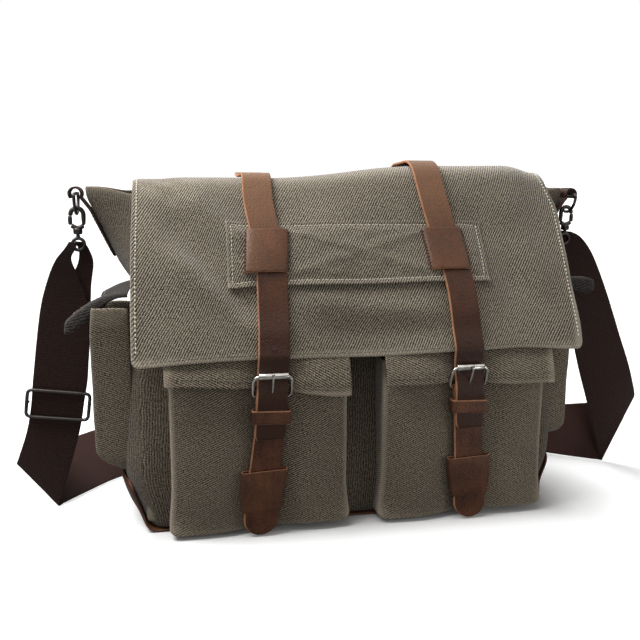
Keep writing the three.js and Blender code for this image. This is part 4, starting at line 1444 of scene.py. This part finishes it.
def glow_outside_painted_shadow(n):
    """0 on the floor under the bag, 1 from a little outside its footprint: the glow fades out there, a
    painted contact shadow.
    """
    pocket_depth = 28
    fade = 28
    front, back = FRONT - pocket_depth, BACK
    at = n.add("ShaderNodeSeparateXYZ", {0: n.add("ShaderNodeNewGeometry").outputs["Position"]})
    from_middle = n.math("SUBTRACT", at.outputs[1], (front + back) / 2 * MM)
    squares = []
    for value, half in ((at.outputs[0], BASE_HALF - 8), (from_middle, (back - front) / 2)):
        beyond = n.math("MAXIMUM", n.math("SUBTRACT", n.math("ABSOLUTE", value), half * MM), 0.0)
        squares.append(n.math("POWER", beyond, 2.0))
    return n.clamp(n.math("DIVIDE", n.math("SQRT", n.math("ADD", *squares)), fade * MM))


def camera_only(name, seen, bounced, glow):
    """A white surface that looks bright to the camera but throws little light back on the bag."""
    n = surface(name)
    ray = n.add("ShaderNodeLightPath").outputs["Is Camera Ray"]
    # No glow on the floor near the bag: a painted contact shadow.
    glowing = n.math("MULTIPLY", n.math("MULTIPLY", ray, glow), glow_outside_painted_shadow(n))
    return n.set(Base_Color=n.mix(ray, [bounced] * 3, [seen] * 3), Roughness=1.0, Specular_IOR_Level=0.0,
                 Emission_Color=(1, 1, 1), Emission_Strength=glowing)


def floor():
    """A pale floor, far wider than the view."""
    reach = 30
    mesh = bpy.data.meshes.new("floor")
    corners = [(-reach, -reach, 0), (reach, -reach, 0), (reach, reach, 0), (-reach, reach, 0)]
    mesh.from_pydata(corners, [], [(0, 1, 2, 3)])
    mesh.materials.append(camera_only("floor_white", 0.90, 0.22, 0.28))
    placed("floor", mesh)


def backdrop():
    """A world that is white to the camera, a weak fill on the bag and a bright sky in the metal."""
    world = bpy.data.worlds.new("studio")
    bpy.context.scene.world = world
    n = Nodes(world)
    n.tree.nodes.clear()
    ray = n.add("ShaderNodeLightPath").outputs
    height = n.add("ShaderNodeSeparateXYZ", {0: n.place("Generated")}).outputs[2]
    ramp = {"Value": height, "From Min": 0.15, "From Max": 0.45, "To Min": 0.03, "To Max": 1.1}
    sky = n.add("ShaderNodeMapRange", ramp).outputs[0]
    weak = 0.14
    strength = n.add("ShaderNodeMix", {0: ray["Is Glossy Ray"], 2: weak, 3: sky}).outputs[0]
    fill = n.add("ShaderNodeBackground", {"Color": (1, 0.98, 0.96), "Strength": strength}).outputs[0]
    seen = n.add("ShaderNodeBackground", {"Color": (1, 1, 1)}).outputs[0]
    shown = n.add("ShaderNodeMixShader", {0: ray["Is Camera Ray"], 1: fill, 2: seen}).outputs[0]
    n.add("ShaderNodeOutputWorld", {0: shown})


def aim(obj, place, facing, roll=0.0):
    """Stands a light or a camera at a place in millimetres, looking along facing."""
    obj.location = Vector(place) * MM
    obj.rotation_mode = "QUATERNION"
    turn = Matrix.Rotation(math.radians(roll), 3, "Z").to_quaternion()
    obj.rotation_quaternion = Vector(facing).to_track_quat("-Z", "Y") @ turn


def sun(name, toward, strength, spread):
    light = bpy.data.lights.new(name, "SUN")
    light.energy = strength
    light.angle = math.radians(spread)
    obj = placed(name, light)
    aim(obj, (0, 0, 0), -Vector(toward))
    obj.visible_glossy = False


def soft_box(place, target, size, power):
    light = bpy.data.lights.new("soft_box", "AREA")
    light.energy = power
    light.size = size * MM
    obj = placed("soft_box", light)
    aim(obj, place, Vector(target) - Vector(place))
    obj.visible_camera = False


def studio_light():
    """A soft box above the left, a small one at the lower right, and wide suns on all sides."""
    sun("key", (-0.24, -0.04, 0.97), 1.2, 30)
    sun("front", (-0.20, -0.95, 0.34), 0.32, 50)
    sun("right", (0.85, -0.55, 0.10), 0.36, 50)
    sun("back", (-0.30, 0.72, 0.62), 3.8, 40)
    soft_box((310, -320, 50), (185, -100, 75), 120, 0.14)
    soft_box((-560, -110, 860), (-40, -40, 200), 480, 6.4)


def camera():
    """In front of the bag, a little to its left and above its middle."""
    data = bpy.data.cameras.new("camera")
    data.lens = 42.19
    data.sensor_width = 36
    place = Vector((-155.2, -686.2, 301.7))
    target = Vector((-16.8, 0, 166.3))
    obj = placed("camera", data)
    aim(obj, place, target - place, roll=0.35)
    bpy.context.scene.camera = obj
    bpy.context.scene.view_settings.view_transform = "Standard"


for build in (body_shell, base_tray, loose_lining, padded_divider):
    build()
for side_name in SIDES:
    for build in (front_pocket, pocket_flap, side_pocket, side_flap):
        build(side_name)
for build in (rear_strip, main_flap, flap_band):
    build()
for side_name in SIDES:
    for build in (upper_strap, strap_hole, lower_strap, keeper, strap_loop, snap_sleeve, buckle,
                  d_ring, ring_tab, snap_hook, hook_gate, swivel_eye):
        build(side_name)
for build in (shoulder_strap, strap_slider, finish_kept_nodes, floor, backdrop, studio_light, camera):
    build()
